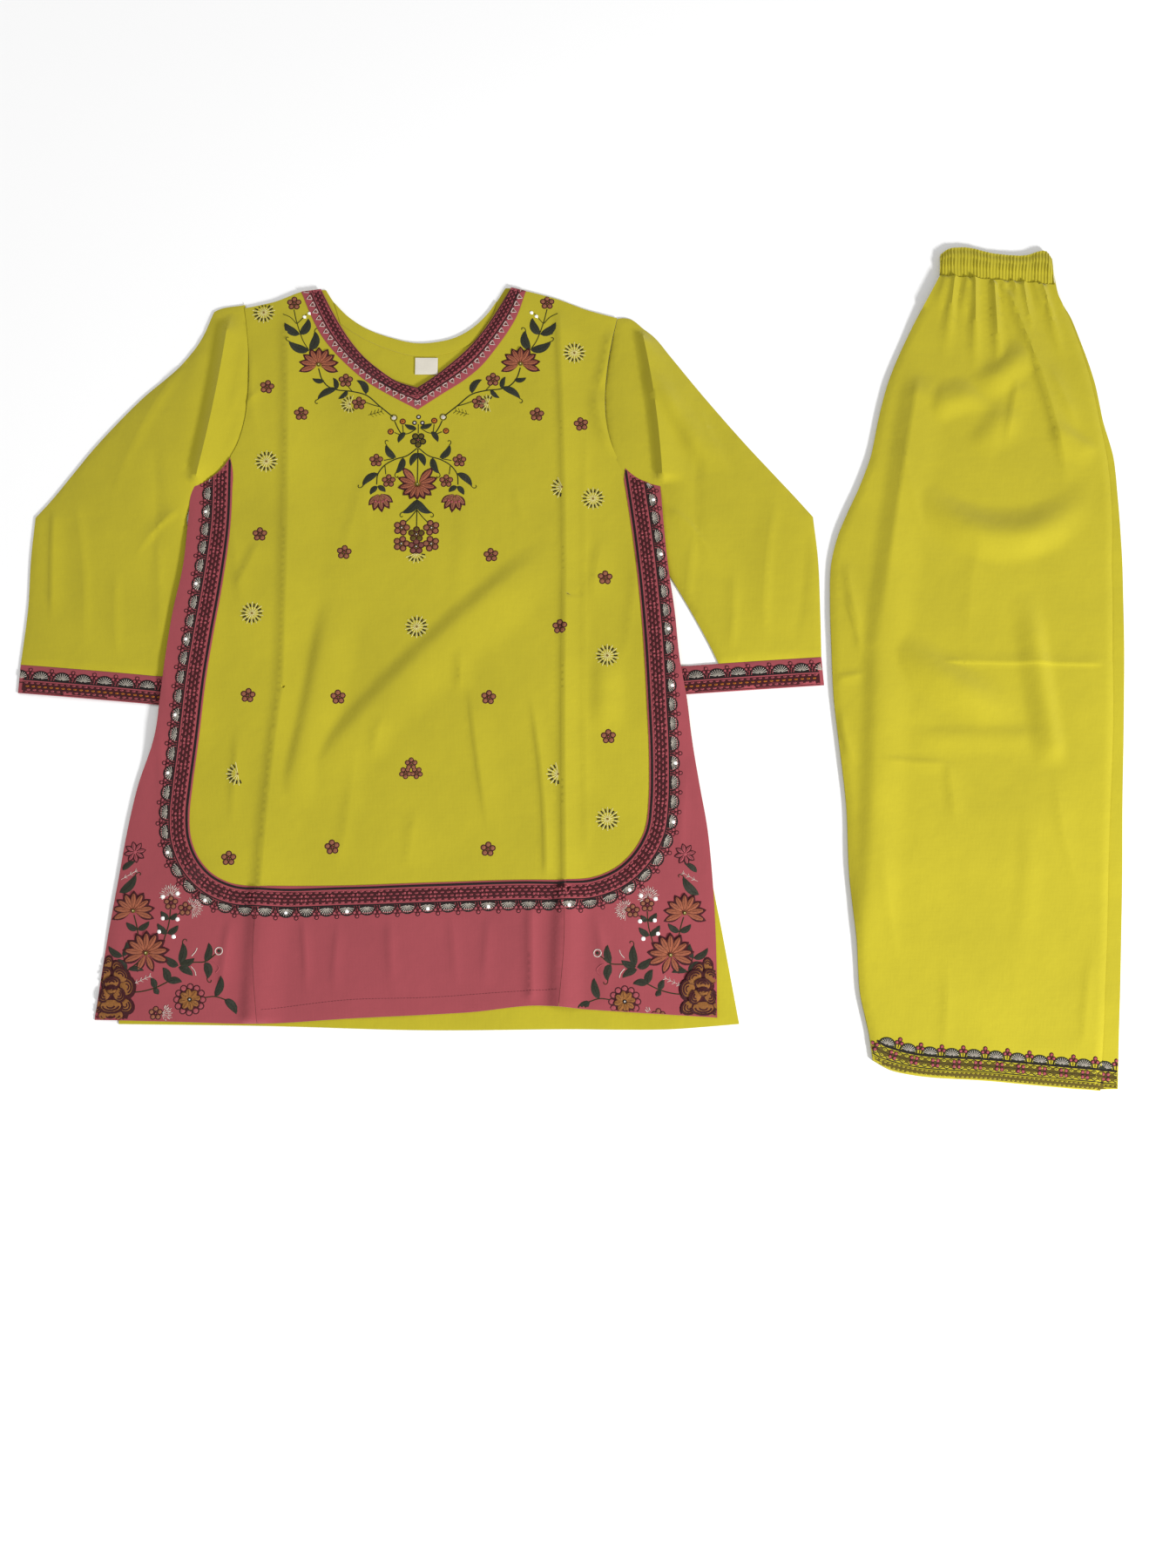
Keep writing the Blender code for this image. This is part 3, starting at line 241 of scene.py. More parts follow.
def node_material(name, colour, roughness, sheen):
    """A material with its node tree, its shader and a function that adds nodes."""
    finish = bpy.data.materials.new(name)
    finish.use_nodes = True
    finish.diffuse_color = (*linear(colour), 1.0)
    tree = finish.node_tree
    shader = tree.nodes["Principled BSDF"]
    shader.inputs["Roughness"].default_value = roughness
    shader.inputs["Sheen Weight"].default_value = sheen
    shader.inputs["Sheen Roughness"].default_value = 0.5
    shader.inputs["Specular IOR Level"].default_value = 0.25

    def add(kind, links=(), **values):
        node = tree.nodes.new(kind)
        for key, value in values.items():
            if key in node.inputs:
                node.inputs[key].default_value = value
            else:
                setattr(node, key.lower(), value)
        for source, socket in links:
            tree.links.new(source, node.inputs[socket])
        return node

    return finish, tree, shader, add


def bumped(tree, shader, add, height, strength, distance, *links):
    """A bump of the height, given to the shader."""
    bump = add("ShaderNodeBump", [(height, "Height"), *links], Strength=strength, Distance=distance)
    tree.links.new(bump.outputs["Normal"], shader.inputs["Normal"])


def two_tones(tree, shader, add, factor, dark, light):
    """A base colour that goes from dark to light with the factor."""
    mix = add("ShaderNodeMix", [(factor, "Factor")], data_type="RGBA")
    for socket in mix.inputs:
        if socket.type == "RGBA":
            socket.default_value = (*(dark if socket.name == "A" else light), 1)
    tree.links.new(mix.outputs[2], shader.inputs["Base Color"])


def cotton(name, colour, thread=0.55):
    """Plain woven cotton: threads both ways, slubs along them and faintly uneven dye."""
    finish, tree, shader, add = node_material(name, colour, 0.86, 0.22)
    place = add("ShaderNodeTexCoord").outputs["Object"]
    heights = []
    for turn, stretch in ((0, (60.0, 900.0, 1.0)), (1, (900.0, 60.0, 1.0))):
        wave = add("ShaderNodeTexWave", [(place, "Vector")], Scale=1000 / thread / 6.2832,
                   Distortion=1.2, Detail=1.0, bands_direction="XY"[turn])
        stretched = add("ShaderNodeMapping", [(place, "Vector")], Scale=stretch)
        slubs = add("ShaderNodeTexNoise", [(stretched.outputs["Vector"], "Vector")], Scale=1.0,
                    Detail=3.0, Roughness=0.6)
        both = add("ShaderNodeMath", [(wave.outputs["Fac"], 0), (slubs.outputs["Fac"], 2)],
                   operation="MULTIPLY_ADD")
        both.inputs[1].default_value = 0.35
        heights.append(both.outputs[0])
    weave = add("ShaderNodeMath", [(heights[0], 0), (heights[1], 1)], operation="ADD").outputs[0]
    crumple = add("ShaderNodeTexNoise", [(place, "Vector")], Scale=46.0, Detail=2.0)
    bump = add("ShaderNodeBump", [(crumple.outputs["Fac"], "Height")], Strength=0.4, Distance=0.0016)
    bumped(tree, shader, add, weave, 0.30, 0.00022, (bump.outputs["Normal"], "Normal"))
    dye = add("ShaderNodeTexNoise", [(place, "Vector")], Scale=8.0, Detail=4.0, Roughness=0.55)
    tone = add("ShaderNodeMath", [(weave, 0), (dye.outputs["Fac"], 2)], operation="MULTIPLY_ADD")
    tone.inputs[1].default_value = 0.16
    ramp = add("ShaderNodeMapRange", [(tone.outputs[0], "Value")])
    ramp.inputs["From Min"].default_value = 0.35
    ramp.inputs["From Max"].default_value = 0.95
    dark = [c * 0.9 for c in linear(colour)]
    light = [c * 1.1 for c in linear(colour)]
    two_tones(tree, shader, add, ramp.outputs["Result"], dark, light)
    return finish


def thread_finish(name, colour):
    """Stranded embroidery thread: fine ridges across each stitched shape, slight sheen."""
    finish, tree, shader, add = node_material("thread " + name, colour, 0.62, 0.0)
    shader.inputs["Specular IOR Level"].default_value = 0.22
    place = add("ShaderNodeTexCoord").outputs["UV"]
    strands = add("ShaderNodeTexWave", [(place, "Vector")], Scale=2.6, Distortion=0.8, Detail=1.0)
    bumped(tree, shader, add, strands.outputs["Fac"], 0.5, 0.0003)
    solid = add("ShaderNodeTexCoord").outputs["Object"]
    uneven = add("ShaderNodeTexNoise", [(solid, "Vector")], Scale=700.0, Detail=1.0)
    dark = [c * 0.72 for c in linear(colour)]
    light = [min(1.0, c * 1.3) for c in linear(colour)]
    two_tones(tree, shader, add, uneven.outputs["Fac"], dark, light)
    return finish


def sequin_finish():
    """Bright pressed foil."""
    finish, tree, shader, add = node_material("sequin foil", (246, 244, 238), 0.2, 0.0)
    shader.inputs["Base Color"].default_value = (0.97, 0.96, 0.93, 1)
    shader.inputs["Specular IOR Level"].default_value = 0.8
    shader.inputs["Metallic"].default_value = 0.12
    place = add("ShaderNodeTexCoord").outputs["Object"]
    dents = add("ShaderNodeTexNoise", [(place, "Vector")], Scale=900.0)
    bumped(tree, shader, add, dents.outputs["Fac"], 0.15, 0.0003)
    return finish


# Curves and outlines, as arrays of points in millimetres

def smooth(rows, step=3.0):
    """A smooth curve through the rows, with points about a step apart."""
    rows = np.array([tuple(row)[:2] for row in rows], float)
    chords = np.linalg.norm(np.diff(rows, axis=0), axis=1)[:, None]
    slopes = np.diff(rows, axis=0) / chords
    inner = (slopes[:-1] * chords[1:] + slopes[1:] * chords[:-1]) / (chords[1:] + chords[:-1])
    tangents = np.vstack([slopes[:1], inner, slopes[-1:]])
    curve = [rows[:1]]
    for i, (chord,) in enumerate(chords):
        t = np.linspace(0, 1, max(1, round(chord / step)) + 1)[1:, None]
        curve.append(rows[i] * (1 - 3 * t ** 2 + 2 * t ** 3) + rows[i + 1] * (3 * t ** 2 - 2 * t ** 3)
                     + tangents[i] * (t - 2 * t ** 2 + t ** 3) * chord
                     + tangents[i + 1] * (t ** 3 - t ** 2) * chord)
    return np.vstack(curve)


def directions(curve):
    """Which way a curve runs at each of its points."""
    ahead = np.gradient(curve, axis=0)
    return ahead / np.linalg.norm(ahead, axis=1)[:, None]


def level(height):
    """A flat side of a sheet, as a function of the place."""
    return lambda x, y: height + 0 * x


def even(curve, step):
    """Points along a curve at even spacing, and its direction at each."""
    lengths = np.concatenate([[0], np.cumsum(np.linalg.norm(np.diff(curve, axis=0), axis=1))])
    count = max(1, round(lengths[-1] / step))
    at = np.linspace(0, lengths[-1], count + 1)
    points = np.column_stack([np.interp(at, lengths, curve[:, k]) for k in (0, 1)])
    return points, directions(points)


def shifted(curve, distance):
    """A curve moved to its left."""
    ahead = directions(curve)
    return curve + np.column_stack([-ahead[:, 1], ahead[:, 0]]) * distance


def node_faces(name, lowest=-1.0):
    """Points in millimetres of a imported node, and the triangles of its upper side."""
    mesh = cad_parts[name].data
    mesh.calc_loop_triangles()
    points = np.array([v.co for v in mesh.vertices]) / MM
    points, same = np.unique(np.round(points, 3), axis=0, return_inverse=True)
    triangles = same.ravel()[np.array([t.vertices for t in mesh.loop_triangles])]
    a, b, c = (points[triangles[:, i]] for i in range(3))
    normal = np.cross(b - a, c - a)
    upper = normal[:, 2] > 0.04 * np.linalg.norm(normal, axis=1)
    upper &= (a + b + c)[:, 2] / 3 > lowest
    return points, triangles[upper]


def node_outline(name, lowest=-1.0):
    """The outline of a node's upper side, in order."""
    points, triangles = node_faces(name, lowest)
    used = {(int(t[i]), int(t[(i + 1) % 3])) for t in triangles for i in range(3)}
    following = {a: b for a, b in used if (b, a) not in used}
    longest = []
    while following:
        start, after = following.popitem()
        loop = [start]
        while after != start and after in following:
            loop.append(after)
            after = following.pop(after)
        if len(loop) > len(longest):
            longest = loop
    return points[longest][:, :2]


def refined(outline, step, corner=34.0):
    """An outline with points a step apart, smooth between its corners."""
    ahead = np.roll(outline, -1, axis=0) - outline
    behind = outline - np.roll(outline, 1, axis=0)
    turn = np.arctan2(ahead[:, 1], ahead[:, 0]) - np.arctan2(behind[:, 1], behind[:, 0])
    turn = np.abs((turn + np.pi) % (2 * np.pi) - np.pi)
    corners = list(np.nonzero(turn > math.radians(corner))[0]) or [0]
    stretches = []
    for first, last in zip(corners, corners[1:] + [corners[0] + len(outline)]):
        rows = [outline[i % len(outline)] for i in range(first, last + 1)]
        stretches.append(even(smooth(rows, 1.5), step)[0][:-1])
    return np.vstack(stretches)


def inside(points, outline):
    """Which points lie within an outline."""
    ax, ay = outline.T
    bx, by = np.roll(outline, -1, axis=0).T
    within = np.zeros(len(points), bool)
    for first in range(0, len(points), 4000):
        x, y = (points[first:first + 4000, k, None] for k in (0, 1))
        crosses = (ay > y) != (by > y)
        slope = (bx - ax) / np.where(by == ay, 1e-9, by - ay)
        within[first:first + 4000] = (crosses & (x < ax + (y - ay) * slope)).sum(1) % 2 == 1
    return within


def distance_to(points, line):
    """Distance from each point to the nearest point of a line."""
    if not len(points):
        return np.zeros(0)
    tree = KDTree(len(line))
    for i, (x, y) in enumerate(line):
        tree.insert((x, y, 0), i)
    tree.balance()
    return np.array([tree.find((x, y, 0))[2] for x, y in points])


# Heights of the cloth

def ease(value):
    """0 below 0, 1 above 1, smooth between."""
    value = np.clip(value, 0.0, 1.0)
    return value * value * (3.0 - 2.0 * value)


def fold_height(fold, x, y):
    """Height that one fold adds."""
    dx, dy = fold.x1 - fold.x0, fold.y1 - fold.y0
    length = math.hypot(dx, dy)
    along = ((x - fold.x0) * dx + (y - fold.y0) * dy) / length ** 2
    across = ((x - fold.x0) * dy - (y - fold.y0) * dx) / length - fold.bow * 4 * along * (1 - along)
    if fold.gentle < 0:
        across = -across
    near = np.clip(1 - np.abs(across) / np.where(across < 0, fold.steep, abs(fold.gentle)), 0, 1)
    height = fold.height * (near ** 1.5 if fold.steep <= CRISP else ease(near))
    height = np.where((along < 0) | (along > 1), 0.0, height)
    if fold.taper0:
        height = height * ease(along / fold.taper0)
    if fold.taper1:
        height = height * ease((1 - along) / fold.taper1)
    return height


def fold_lines(folds, step=3.5):
    """Points along the foot, the steep side and the crest of each crisp fold."""
    points = []
    for fold in folds:
        if fold.steep > CRISP:
            continue
        dx, dy = fold.x1 - fold.x0, fold.y1 - fold.y0
        length = math.hypot(dx, dy)
        t = np.linspace(0, 1, max(2, round(length / step)))
        turn = -1 if fold.gentle < 0 else 1
        for shift in (-fold.steep, -fold.steep / 2, 0.0, 2.5):
            side = turn * shift + fold.bow * 4 * t * (1 - t)
            points.append(np.column_stack([fold.x0 + dx * t + dy / length * side,
                                           fold.y0 + dy * t - dx / length * side]))
    return np.vstack(points) if points else np.empty((0, 2))


def gather_lines():
    """Points along the foot, the slopes and the crest of each gather."""
    points = []
    for gather in GATHERS:
        t = np.linspace(0.04, 0.95, round(gather.length / 4.4))
        for share in (-1.0, -0.45, 0.0, 0.45, 1.0):
            x = gather.x + gather.lean * t + share * GATHER_HALF * (1 + 0.8 * t)
            points.append(np.column_stack([x, waist_y(gather.x) - gather.length * t]))
    return np.vstack(points)


def waist_y(x):
    """The waistband's lower edge."""
    slope = (WAIST_RIGHT[1] - WAIST_LEFT[1]) / (WAIST_RIGHT[0] - WAIST_LEFT[0])
    return WAIST_LEFT[1] + (x - WAIST_LEFT[0]) * slope


def ripple(x, y, seed, size, height):
    """Soft uneven waves all over."""
    draw = random.Random(seed)
    total = 0
    for _ in range(7):
        angle, phase = draw.uniform(0, math.pi), draw.uniform(0, 6.28)
        length = size * draw.uniform(0.6, 1.7)
        total = total + np.sin((x * math.cos(angle) + y * math.sin(angle)) * 6.2832 / length + phase)
    return total * height / 3.0


def lift(x, y, spread=0.0):
    """How far the body's sides rise over the sleeves."""
    height = np.zeros_like(x)
    for side in LIFT_SIDES:
        edge = sorted((row.y, row.x) for row in HIDDEN_EDGE[side.sign])
        at = np.interp(y, [row[0] for row in edge], [row[1] for row in edge])
        across = ease(1 - (side.sign * (at - x) - 2.0) / (LIFT_REACH + spread))
        start = ease((side.top + spread - y) / (side.top - side.full_top))
        stop = ease((y - side.bottom + spread) / (side.full_bottom - side.bottom))
        height = np.maximum(height, LIFT * across * start * stop)
    return height


def front_top(x, y):
    """Upper side of the kurta's front. Its lower left corner droops past the back."""
    folds = np.max([fold_height(fold, x, y) for fold in FRONT_FOLDS], axis=0)
    creases = sum(fold_height(fold, x, y) for fold in FRONT_CREASES)
    droop = 1.3 * ease((-436 - x) / 14) * ease((-160 - y) / 60)
    rise = lift(x, y, LIFT_SPREAD) * (1 + LIFT_OVER / LIFT)
    return FRONT_TOP + rise + folds + creases * CREASE_DEPTH - droop + ripple(x, y, 3, 120, 0.3)


def back_top(x, y):
    return BACK_TOP + lift(x, y) + ripple(x, y, 5, 140, 0.1)


def back_under(x, y):
    creases = sum(fold_height(fold, x, y) for fold in UNDER_CREASES)
    return 0.1 + lift(x, y) + np.minimum(creases, 0.5)


def leg_top(x, y):
    """Upper side of the upper leg, with folds, creases and gathers."""
    height = np.max([fold_height(fold, x, y) for fold in LEG_FOLDS], axis=0)
    below = waist_y(x) - y
    for gather in GATHERS:
        along = below / gather.length
        across = np.abs(x - gather.x - gather.lean * along) / (GATHER_HALF * (1 + 0.8 * along))
        raised = 1.5 * gather.height * ease(1 - across) * ease((1 - along) / 0.7)
        height = np.where((along >= 0) & (along < 1), np.maximum(height, raised), height)
    creases = sum(fold_height(fold, x, y) for fold in LEG_CREASES)
    bulk = WAIST_BULK * ease(1 - below / 90.0)
    return LEG_LEVELS[3] + height + creases * CREASE_DEPTH * 0.8 + bulk + ripple(x, y, 9, 110, 0.3)


# Cloth shells

def finish_mesh(name, points, faces, finishes, smooth_angle=50.0):
    """A mesh object from points in millimetres, smooth where it bends softly."""
    mesh = bpy.data.meshes.new(name)
    mesh.from_pydata((np.asarray(points, float) * MM).tolist(), [], faces)
    for finish in finishes:
        mesh.materials.append(finish)
    mesh.polygons.foreach_set("use_smooth", [True] * len(mesh.polygons))
    mesh.update()
    mesh.set_sharp_from_angle(angle=math.radians(smooth_angle))
    item = bpy.data.objects.new(name, mesh)
    bpy.context.scene.collection.objects.link(item)
    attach(item, "root")
    return item


def net(outline, spacing, kept=()):
    """Points of a staggered net within an outline, clear of its edge and of the kept points."""
    low, high = outline.min(0), outline.max(0)
    rows = np.arange(low[1], high[1], spacing * 0.866)
    grid = np.vstack([np.column_stack([np.arange(low[0], high[0], spacing) + (i % 2) * spacing / 2,
                                       np.full(len(np.arange(low[0], high[0], spacing)), y)])
                      for i, y in enumerate(rows)])
    grid = grid[inside(grid, outline)]
    grid = grid[distance_to(grid, outline) > 0.6 * spacing]
    if len(kept):
        kept = kept[inside(kept, outline)]
        kept = kept[distance_to(kept, outline) > 1.2]
    if len(kept):
        grid = grid[distance_to(grid, kept) > 0.5 * spacing]
        grid = np.vstack([grid, kept])
    return grid


def triangulate(outline, inner):
    """Points and upward triangles over an outline and the points within it."""
    count = len(outline)
    places = [Vector((x, y)) for x, y in np.vstack([outline, inner])]
    found = delaunay_2d_cdt(places, [(i, (i + 1) % count) for i in range(count)], [], 1, 1e-5)
    points = np.array([tuple(p) for p in found[0]])
    triangles = np.array([tuple(f) for f in found[2] if len(f) == 3])
    a, b, c = (points[triangles[:, i]] for i in range(3))
    turned = (b[:, 0] - a[:, 0]) * (c[:, 1] - a[:, 1]) - (b[:, 1] - a[:, 1]) * (c[:, 0] - a[:, 0])
    triangles[turned < 0] = triangles[turned < 0][:, ::-1]
    return points, triangles


def relaxed(heights, triangles, times, hold):
    """Heights evened out over neighbours, except at held points."""
    pairs = np.vstack([triangles[:, [0, 1]], triangles[:, [1, 2]], triangles[:, [2, 0]]])
    for _ in range(times):
        total, count = np.zeros(len(heights)), np.zeros(len(heights))
        for a, b in ((0, 1), (1, 0)):
            np.add.at(total, pairs[:, a], heights[pairs[:, b]])
            np.add.at(count, pairs[:, a], 1)
        heights = np.where(hold, heights, total / np.maximum(count, 1))
    return heights


def rim_edges(triangles):
    used = {(int(t[i]), int(t[(i + 1) % 3])) for t in triangles for i in range(3)}
    return [(a, b) for a, b in used if (b, a) not in used]


class Sheet:
    """One layer of cloth: a net over an outline, closed to a thin shell between two heights."""

    def __init__(self, outline, top, under=None, spacing=4.5, kept=(), edge_drop=0.3):
        outline = refined(outline, min(spacing, 4.0))
        self.places, self.triangles = triangulate(outline, net(outline, spacing, kept))
        x, y = self.places.T
        self.rim = distance_to(self.places, refined(outline, 1.0, 60.0))
        self.top = top(x, y) - edge_drop * (1 - ease(self.rim / 3.0))
        self.under = self.top - SHEET if under is None else np.minimum(under(x, y), self.top - 0.3)

    def solid(self):
        """Points and faces of the closed shell."""
        count = len(self.places)
        points = np.vstack([np.column_stack([self.places, self.top]),
                            np.column_stack([self.places, self.under])])
        faces = self.triangles.tolist()
        faces += (self.triangles[:, ::-1] + count).tolist()
        faces += [(b, a, a + count, b + count) for a, b in rim_edges(self.triangles)]
        return points, faces

    def flat_size(self):
        """Width and length of the cut, and its area, in metres."""
        low, high = self.places.min(0), self.places.max(0)
        a, b, c = (self.places[self.triangles[:, i]] for i in range(3))
        area = np.abs((b[:, 0] - a[:, 0]) * (c[:, 1] - a[:, 1])
                      - (b[:, 1] - a[:, 1]) * (c[:, 0] - a[:, 0])).sum() / 2
        return (high - low) * MM, area * MM * MM


def cloth(name, node, finish, sheets):
    """Joins the sheets to one piece, hides its node and works out the size of its cut."""
    points, faces, start = [], [], 0
    for item in sheets:
        some, ways = item.solid()
        points.append(some)
        faces += [tuple(i + start for i in face) for face in ways]
        start += len(some)
    piece = finish_mesh(name, np.vstack(points), faces, [finish])
    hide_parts(node)
    sizes = [item.flat_size() for item in sheets]
    width = float(sum(size[0] for size, _ in sizes))
    length = float(max(size[1] for size, _ in sizes))
    area = float(sum(area for _, area in sizes))
    if area <= LEAST_SHARE * width * length:
        length = area / width * 2
    return piece


def measured(node, lowest):
    """The height of a node's upper side, read from above."""
    points, triangles = node_faces(node, lowest)
    tree = BVHTree.FromPolygons(points.tolist(), triangles.tolist())

    def height(x, y):
        found = []
        for px, py in zip(x, y):
            hit = tree.ray_cast(Vector((px, py, ABOVE)), DOWN)[0]
            if hit is None:
                hit = tree.find_nearest(Vector((px, py, RESTING)))[0]
            found.append(hit.z)
        return np.array(found)

    return height


# Embroidery

class Stitching:
    """Raised thread work on cloth, gathered into one mesh with a finish for each thread."""

    def __init__(self, name, cloths):
        self.name = name
        self.places, self.rises, self.faces = [], [], []
        self.colours, self.maps, self.count = [], [], 0
        points, triangles, start = [], [], 0
        for item in cloths:
            item.data.calc_loop_triangles()
            points += [tuple(v.co / MM) for v in item.data.vertices]
            triangles += [tuple(i + start for i in t.vertices) for t in item.data.loop_triangles]
            start = len(points)
        self.tree = BVHTree.FromPolygons(points, triangles)

    def add(self, places, rises, faces, colour, uv):
        self.places.append(places)
        self.rises.append(rises)
        self.maps.append(uv)
        self.faces += [tuple(i + self.count for i in face) for face in faces]
        self.colours += [colour] * len(faces)
        self.count += len(places)

    def stroke(self, path, width, colour, rise=0.5, shape=None, closed=False, groove=False, foot=-0.2):
        """A raised line of stitches along a path; shape gives its width from end to end."""
        path = np.asarray(path, float)
        if closed:
            path = np.vstack([path, path[:1]])
        ahead = np.gradient(path, axis=0)
        if closed:
            ahead[0] = ahead[-1] = path[1] - path[-2]
        ahead /= np.maximum(np.linalg.norm(ahead, axis=1), 1e-9)[:, None]
        left = np.column_stack([-ahead[:, 1], ahead[:, 0]])
        t = np.linspace(0, 1, len(path))
        widths = width * (np.ones(len(path)) if shape is None else shape(t))
        offsets = np.array([-0.5, -0.26, 0.0, 0.26, 0.5] if groove or width > 2.5 else [-0.5, 0, 0.5])
        if groove:
            section = np.array([foot, rise, 0.45 * rise, rise, foot])
        elif width > 2.5:
            section = np.array([foot, 0.8 * rise, rise, 0.8 * rise, foot])
        else:
            section = np.array([foot, rise, foot])
        n = len(offsets)
        places = (path[:, None] + left[:, None] * widths[:, None, None] * offsets[None, :, None])
        height = np.tile(section, (len(path), 1))
        if shape is not None:
            height = height * np.minimum(1, widths / (0.3 * width) + 0.05)[:, None]
        run = np.concatenate([[0], np.cumsum(np.linalg.norm(np.diff(path, axis=0), axis=1))])
        uv = np.stack([np.tile(run[:, None], (1, n)), widths[:, None] * offsets], axis=2)
        faces = [(r * n + k, r * n + k + 1, (r + 1) * n + k + 1, (r + 1) * n + k)
                 for r in range(len(path) - 1) for k in range(n - 1)]
        self.add(places.reshape(-1, 2), height.ravel(), faces, colour, uv.reshape(-1, 2))

    def dot(self, x, y, radius, colour, rise=0.5, sides=10, long=1.0, turn=0.0):
        """A small domed knot or disc, round or longer one way."""
        angle = np.arange(sides) / sides * 2 * math.pi
        ring = np.column_stack([np.cos(angle) * long, np.sin(angle)])
        c, s = math.cos(turn), math.sin(turn)
        ring = ring @ np.array([[c, s], [-s, c]]) * radius
        places = np.vstack([[(0, 0)], ring * 0.62, ring])
        rises = np.concatenate([[rise], np.full(sides, 0.82 * rise), np.full(sides, -0.2)])
        faces = []
        for i in range(sides):
            j = (i + 1) % sides
            faces += [(0, 1 + i, 1 + j), (1 + i, 1 + sides + i, 1 + sides + j, 1 + j)]
        self.add(places + (x, y), rises, faces, colour, places.copy())

    def build(self):
        """The mesh, laid on the cloth. Stitches that would fall beside the cloth are left out."""
        places, rises = np.vstack(self.places), np.concatenate(self.rises)
        height, found = np.zeros(len(places)), np.zeros(len(places), bool)
        for i, (x, y) in enumerate(places):
            hit = self.tree.ray_cast(Vector((x, y, ABOVE)), DOWN)[0]
            if hit is not None:
                height[i], found[i] = hit.z, True
        points = np.column_stack([places, height + rises])
        kept = [k for k, face in enumerate(self.faces) if all(found[i] for i in face)]
        used = sorted({i for k in kept for i in self.faces[k]})
        renumbered = {i: n for n, i in enumerate(used)}
        faces = [tuple(renumbered[i] for i in self.faces[k]) for k in kept]
        names = sorted({self.colours[k] for k in kept})
        piece = finish_mesh(self.name, points[used], faces, [FINISHES[n] for n in names], 80.0)
        mesh = piece.data
        mesh.polygons.foreach_set("material_index", [names.index(self.colours[k]) for k in kept])
        layer = mesh.uv_layers.new(name="Thread")
        corners = np.empty(len(mesh.loops), np.int32)
        mesh.loops.foreach_get("vertex_index", corners)
        layer.data.foreach_set("uv", np.vstack(self.maps)[used][corners].ravel())
        return piece


def leaf_shape(t):
    return np.sin(np.pi * t ** 0.8) ** 0.8 + 0.03


def petal_shape(t):
    return np.sin(np.pi * t ** 1.1) ** 0.95 + 0.03


def arc(x, y, radius, start, end, count=10):
    """Points along an arc; angles in degrees."""
    angle = np.radians(np.linspace(start, end, count))
    return np.column_stack([x + radius * np.cos(angle), y + radius * np.sin(angle)])


def bent(start, end, bow, count=9):
    """Points along a line from start to end that bows to its left."""
    start, end = np.array(start, float), np.array(end, float)
    t = np.linspace(0, 1, count)[:, None]
    side = np.array([-(end - start)[1], (end - start)[0]])
    return start + (end - start) * t + side * bow * 4 * t * (1 - t)


def small_flower(s, x, y, size=7.6, petal="dusty", edge="maroon", turn=90.0, heart="rose"):
    """A round flower of outlined petals."""
    for k in range(5):
        angle = math.radians(turn + 72 * k)
        px, py = x + 0.60 * size * math.cos(angle), y + 0.60 * size * math.sin(angle)
        s.dot(px, py, 0.50 * size, edge, 0.35, 9)
        s.dot(px, py, 0.37 * size, petal, 0.65, 8)
    s.dot(x, y, 0.24 * size, edge, 0.7, 8)
    s.dot(x, y, 0.14 * size, heart, 0.95, 7)


def sunburst(s, x, y, size=9.6, rays=14, start=0.0, sweep=360.0, ray="cream", dash="black",
             wide=1.0):
    """A burst of pale rays with dark dashes round them."""
    count = max(3, round(rays * abs(sweep) / 360))
    for k in range(count):
        angle = math.radians(start + sweep * (k + 0.5) / count)
        ahead = np.array([math.cos(angle), math.sin(angle)])
        centre = np.array([x, y])
        s.stroke([centre + ahead * size * d for d in (0.14, 0.6, 1.24)], 0.13 * wide * size, ray, 0.4)
        angle += math.radians(sweep / count / 2)
        ahead = np.array([math.cos(angle), math.sin(angle)])
        s.stroke([centre + ahead * size * d for d in (0.68, 0.86, 1.06)], 0.2 * wide * size, dash, 0.6)
    s.dot(x, y, 0.1 * size, "mauve", 0.6, 7)


def petal(s, x, y, angle, length, width, fill="terracotta", edge="maroon", level=0.0):
    """A pointed petal with an outline and a middle line; a higher level lies over a lower one."""
    a = math.radians(angle)
    ahead = np.array([math.cos(a), math.sin(a)])
    centre = np.array([x, y])
    whole = [centre + ahead * length * t for t in np.linspace(0.1, 1.0, 9)]
    within = [centre + ahead * length * t for t in np.linspace(0.1, 0.93, 9)]
    s.stroke(whole, width, edge, 0.35 + level, petal_shape)
    s.stroke(within, width - 1.6, fill, 0.50 + level, petal_shape)
    s.stroke([centre + ahead * length * t for t in (0.35, 0.58, 0.8)], 0.55, edge, 0.62 + level,
             foot=0.4 + level)


def lotus(s, x, y, size, petals):
    """A fan of pointed petals; the table gives their angles, lengths and widths as shares."""
    for k, (angle, length, width) in enumerate(reversed(petals)):
        petal(s, x, y, angle, size * length, 1.16 * size * width, level=0.16 * k)
    top = 0.16 * len(petals) + 0.5
    s.dot(x, y, 0.11 * size, "olive", top, 8)
    s.dot(x, y, 0.06 * size, "cream", top + 0.3, 7)


def leaf(s, base, tip, bow=0.12, width=6.0, curl=0):
    """A dark leaf with a groove along its middle; curl adds a hook at its tip, to either side."""
    width = 1.22 * width
    s.stroke(bent(base, tip, bow), width + 1.1, "black", 0.3, leaf_shape)
    s.stroke(bent(base, tip, bow), width, "leaf", 0.6, leaf_shape, groove=True)
    if curl:
        base, tip = np.array(base, float), np.array(tip, float)
        way = (tip - base) / np.linalg.norm(tip - base)
        side = np.array([-way[1], way[0]]) * curl
        hook = [tip - way, tip + way * 2.0, tip + way * 3.6 + side * 1.2, tip + way * 3.4 + side * 3.2,
                tip + way * 1.8 + side * 3.6]
        s.stroke(smooth(hook, 0.8), 1.2, "stem", 0.45)


def stem(s, *points, colour="stem", width=1.3):
    """A smooth stem through the points."""
    s.stroke(smooth(points, 2.0), 1.25 * width, colour, 0.45)


def ring(s, x, y, radius, width, colour, rise=0.5):
    """A round outline."""
    s.stroke(arc(x, y, radius, 0, 330, 12), width, colour, rise, closed=True)


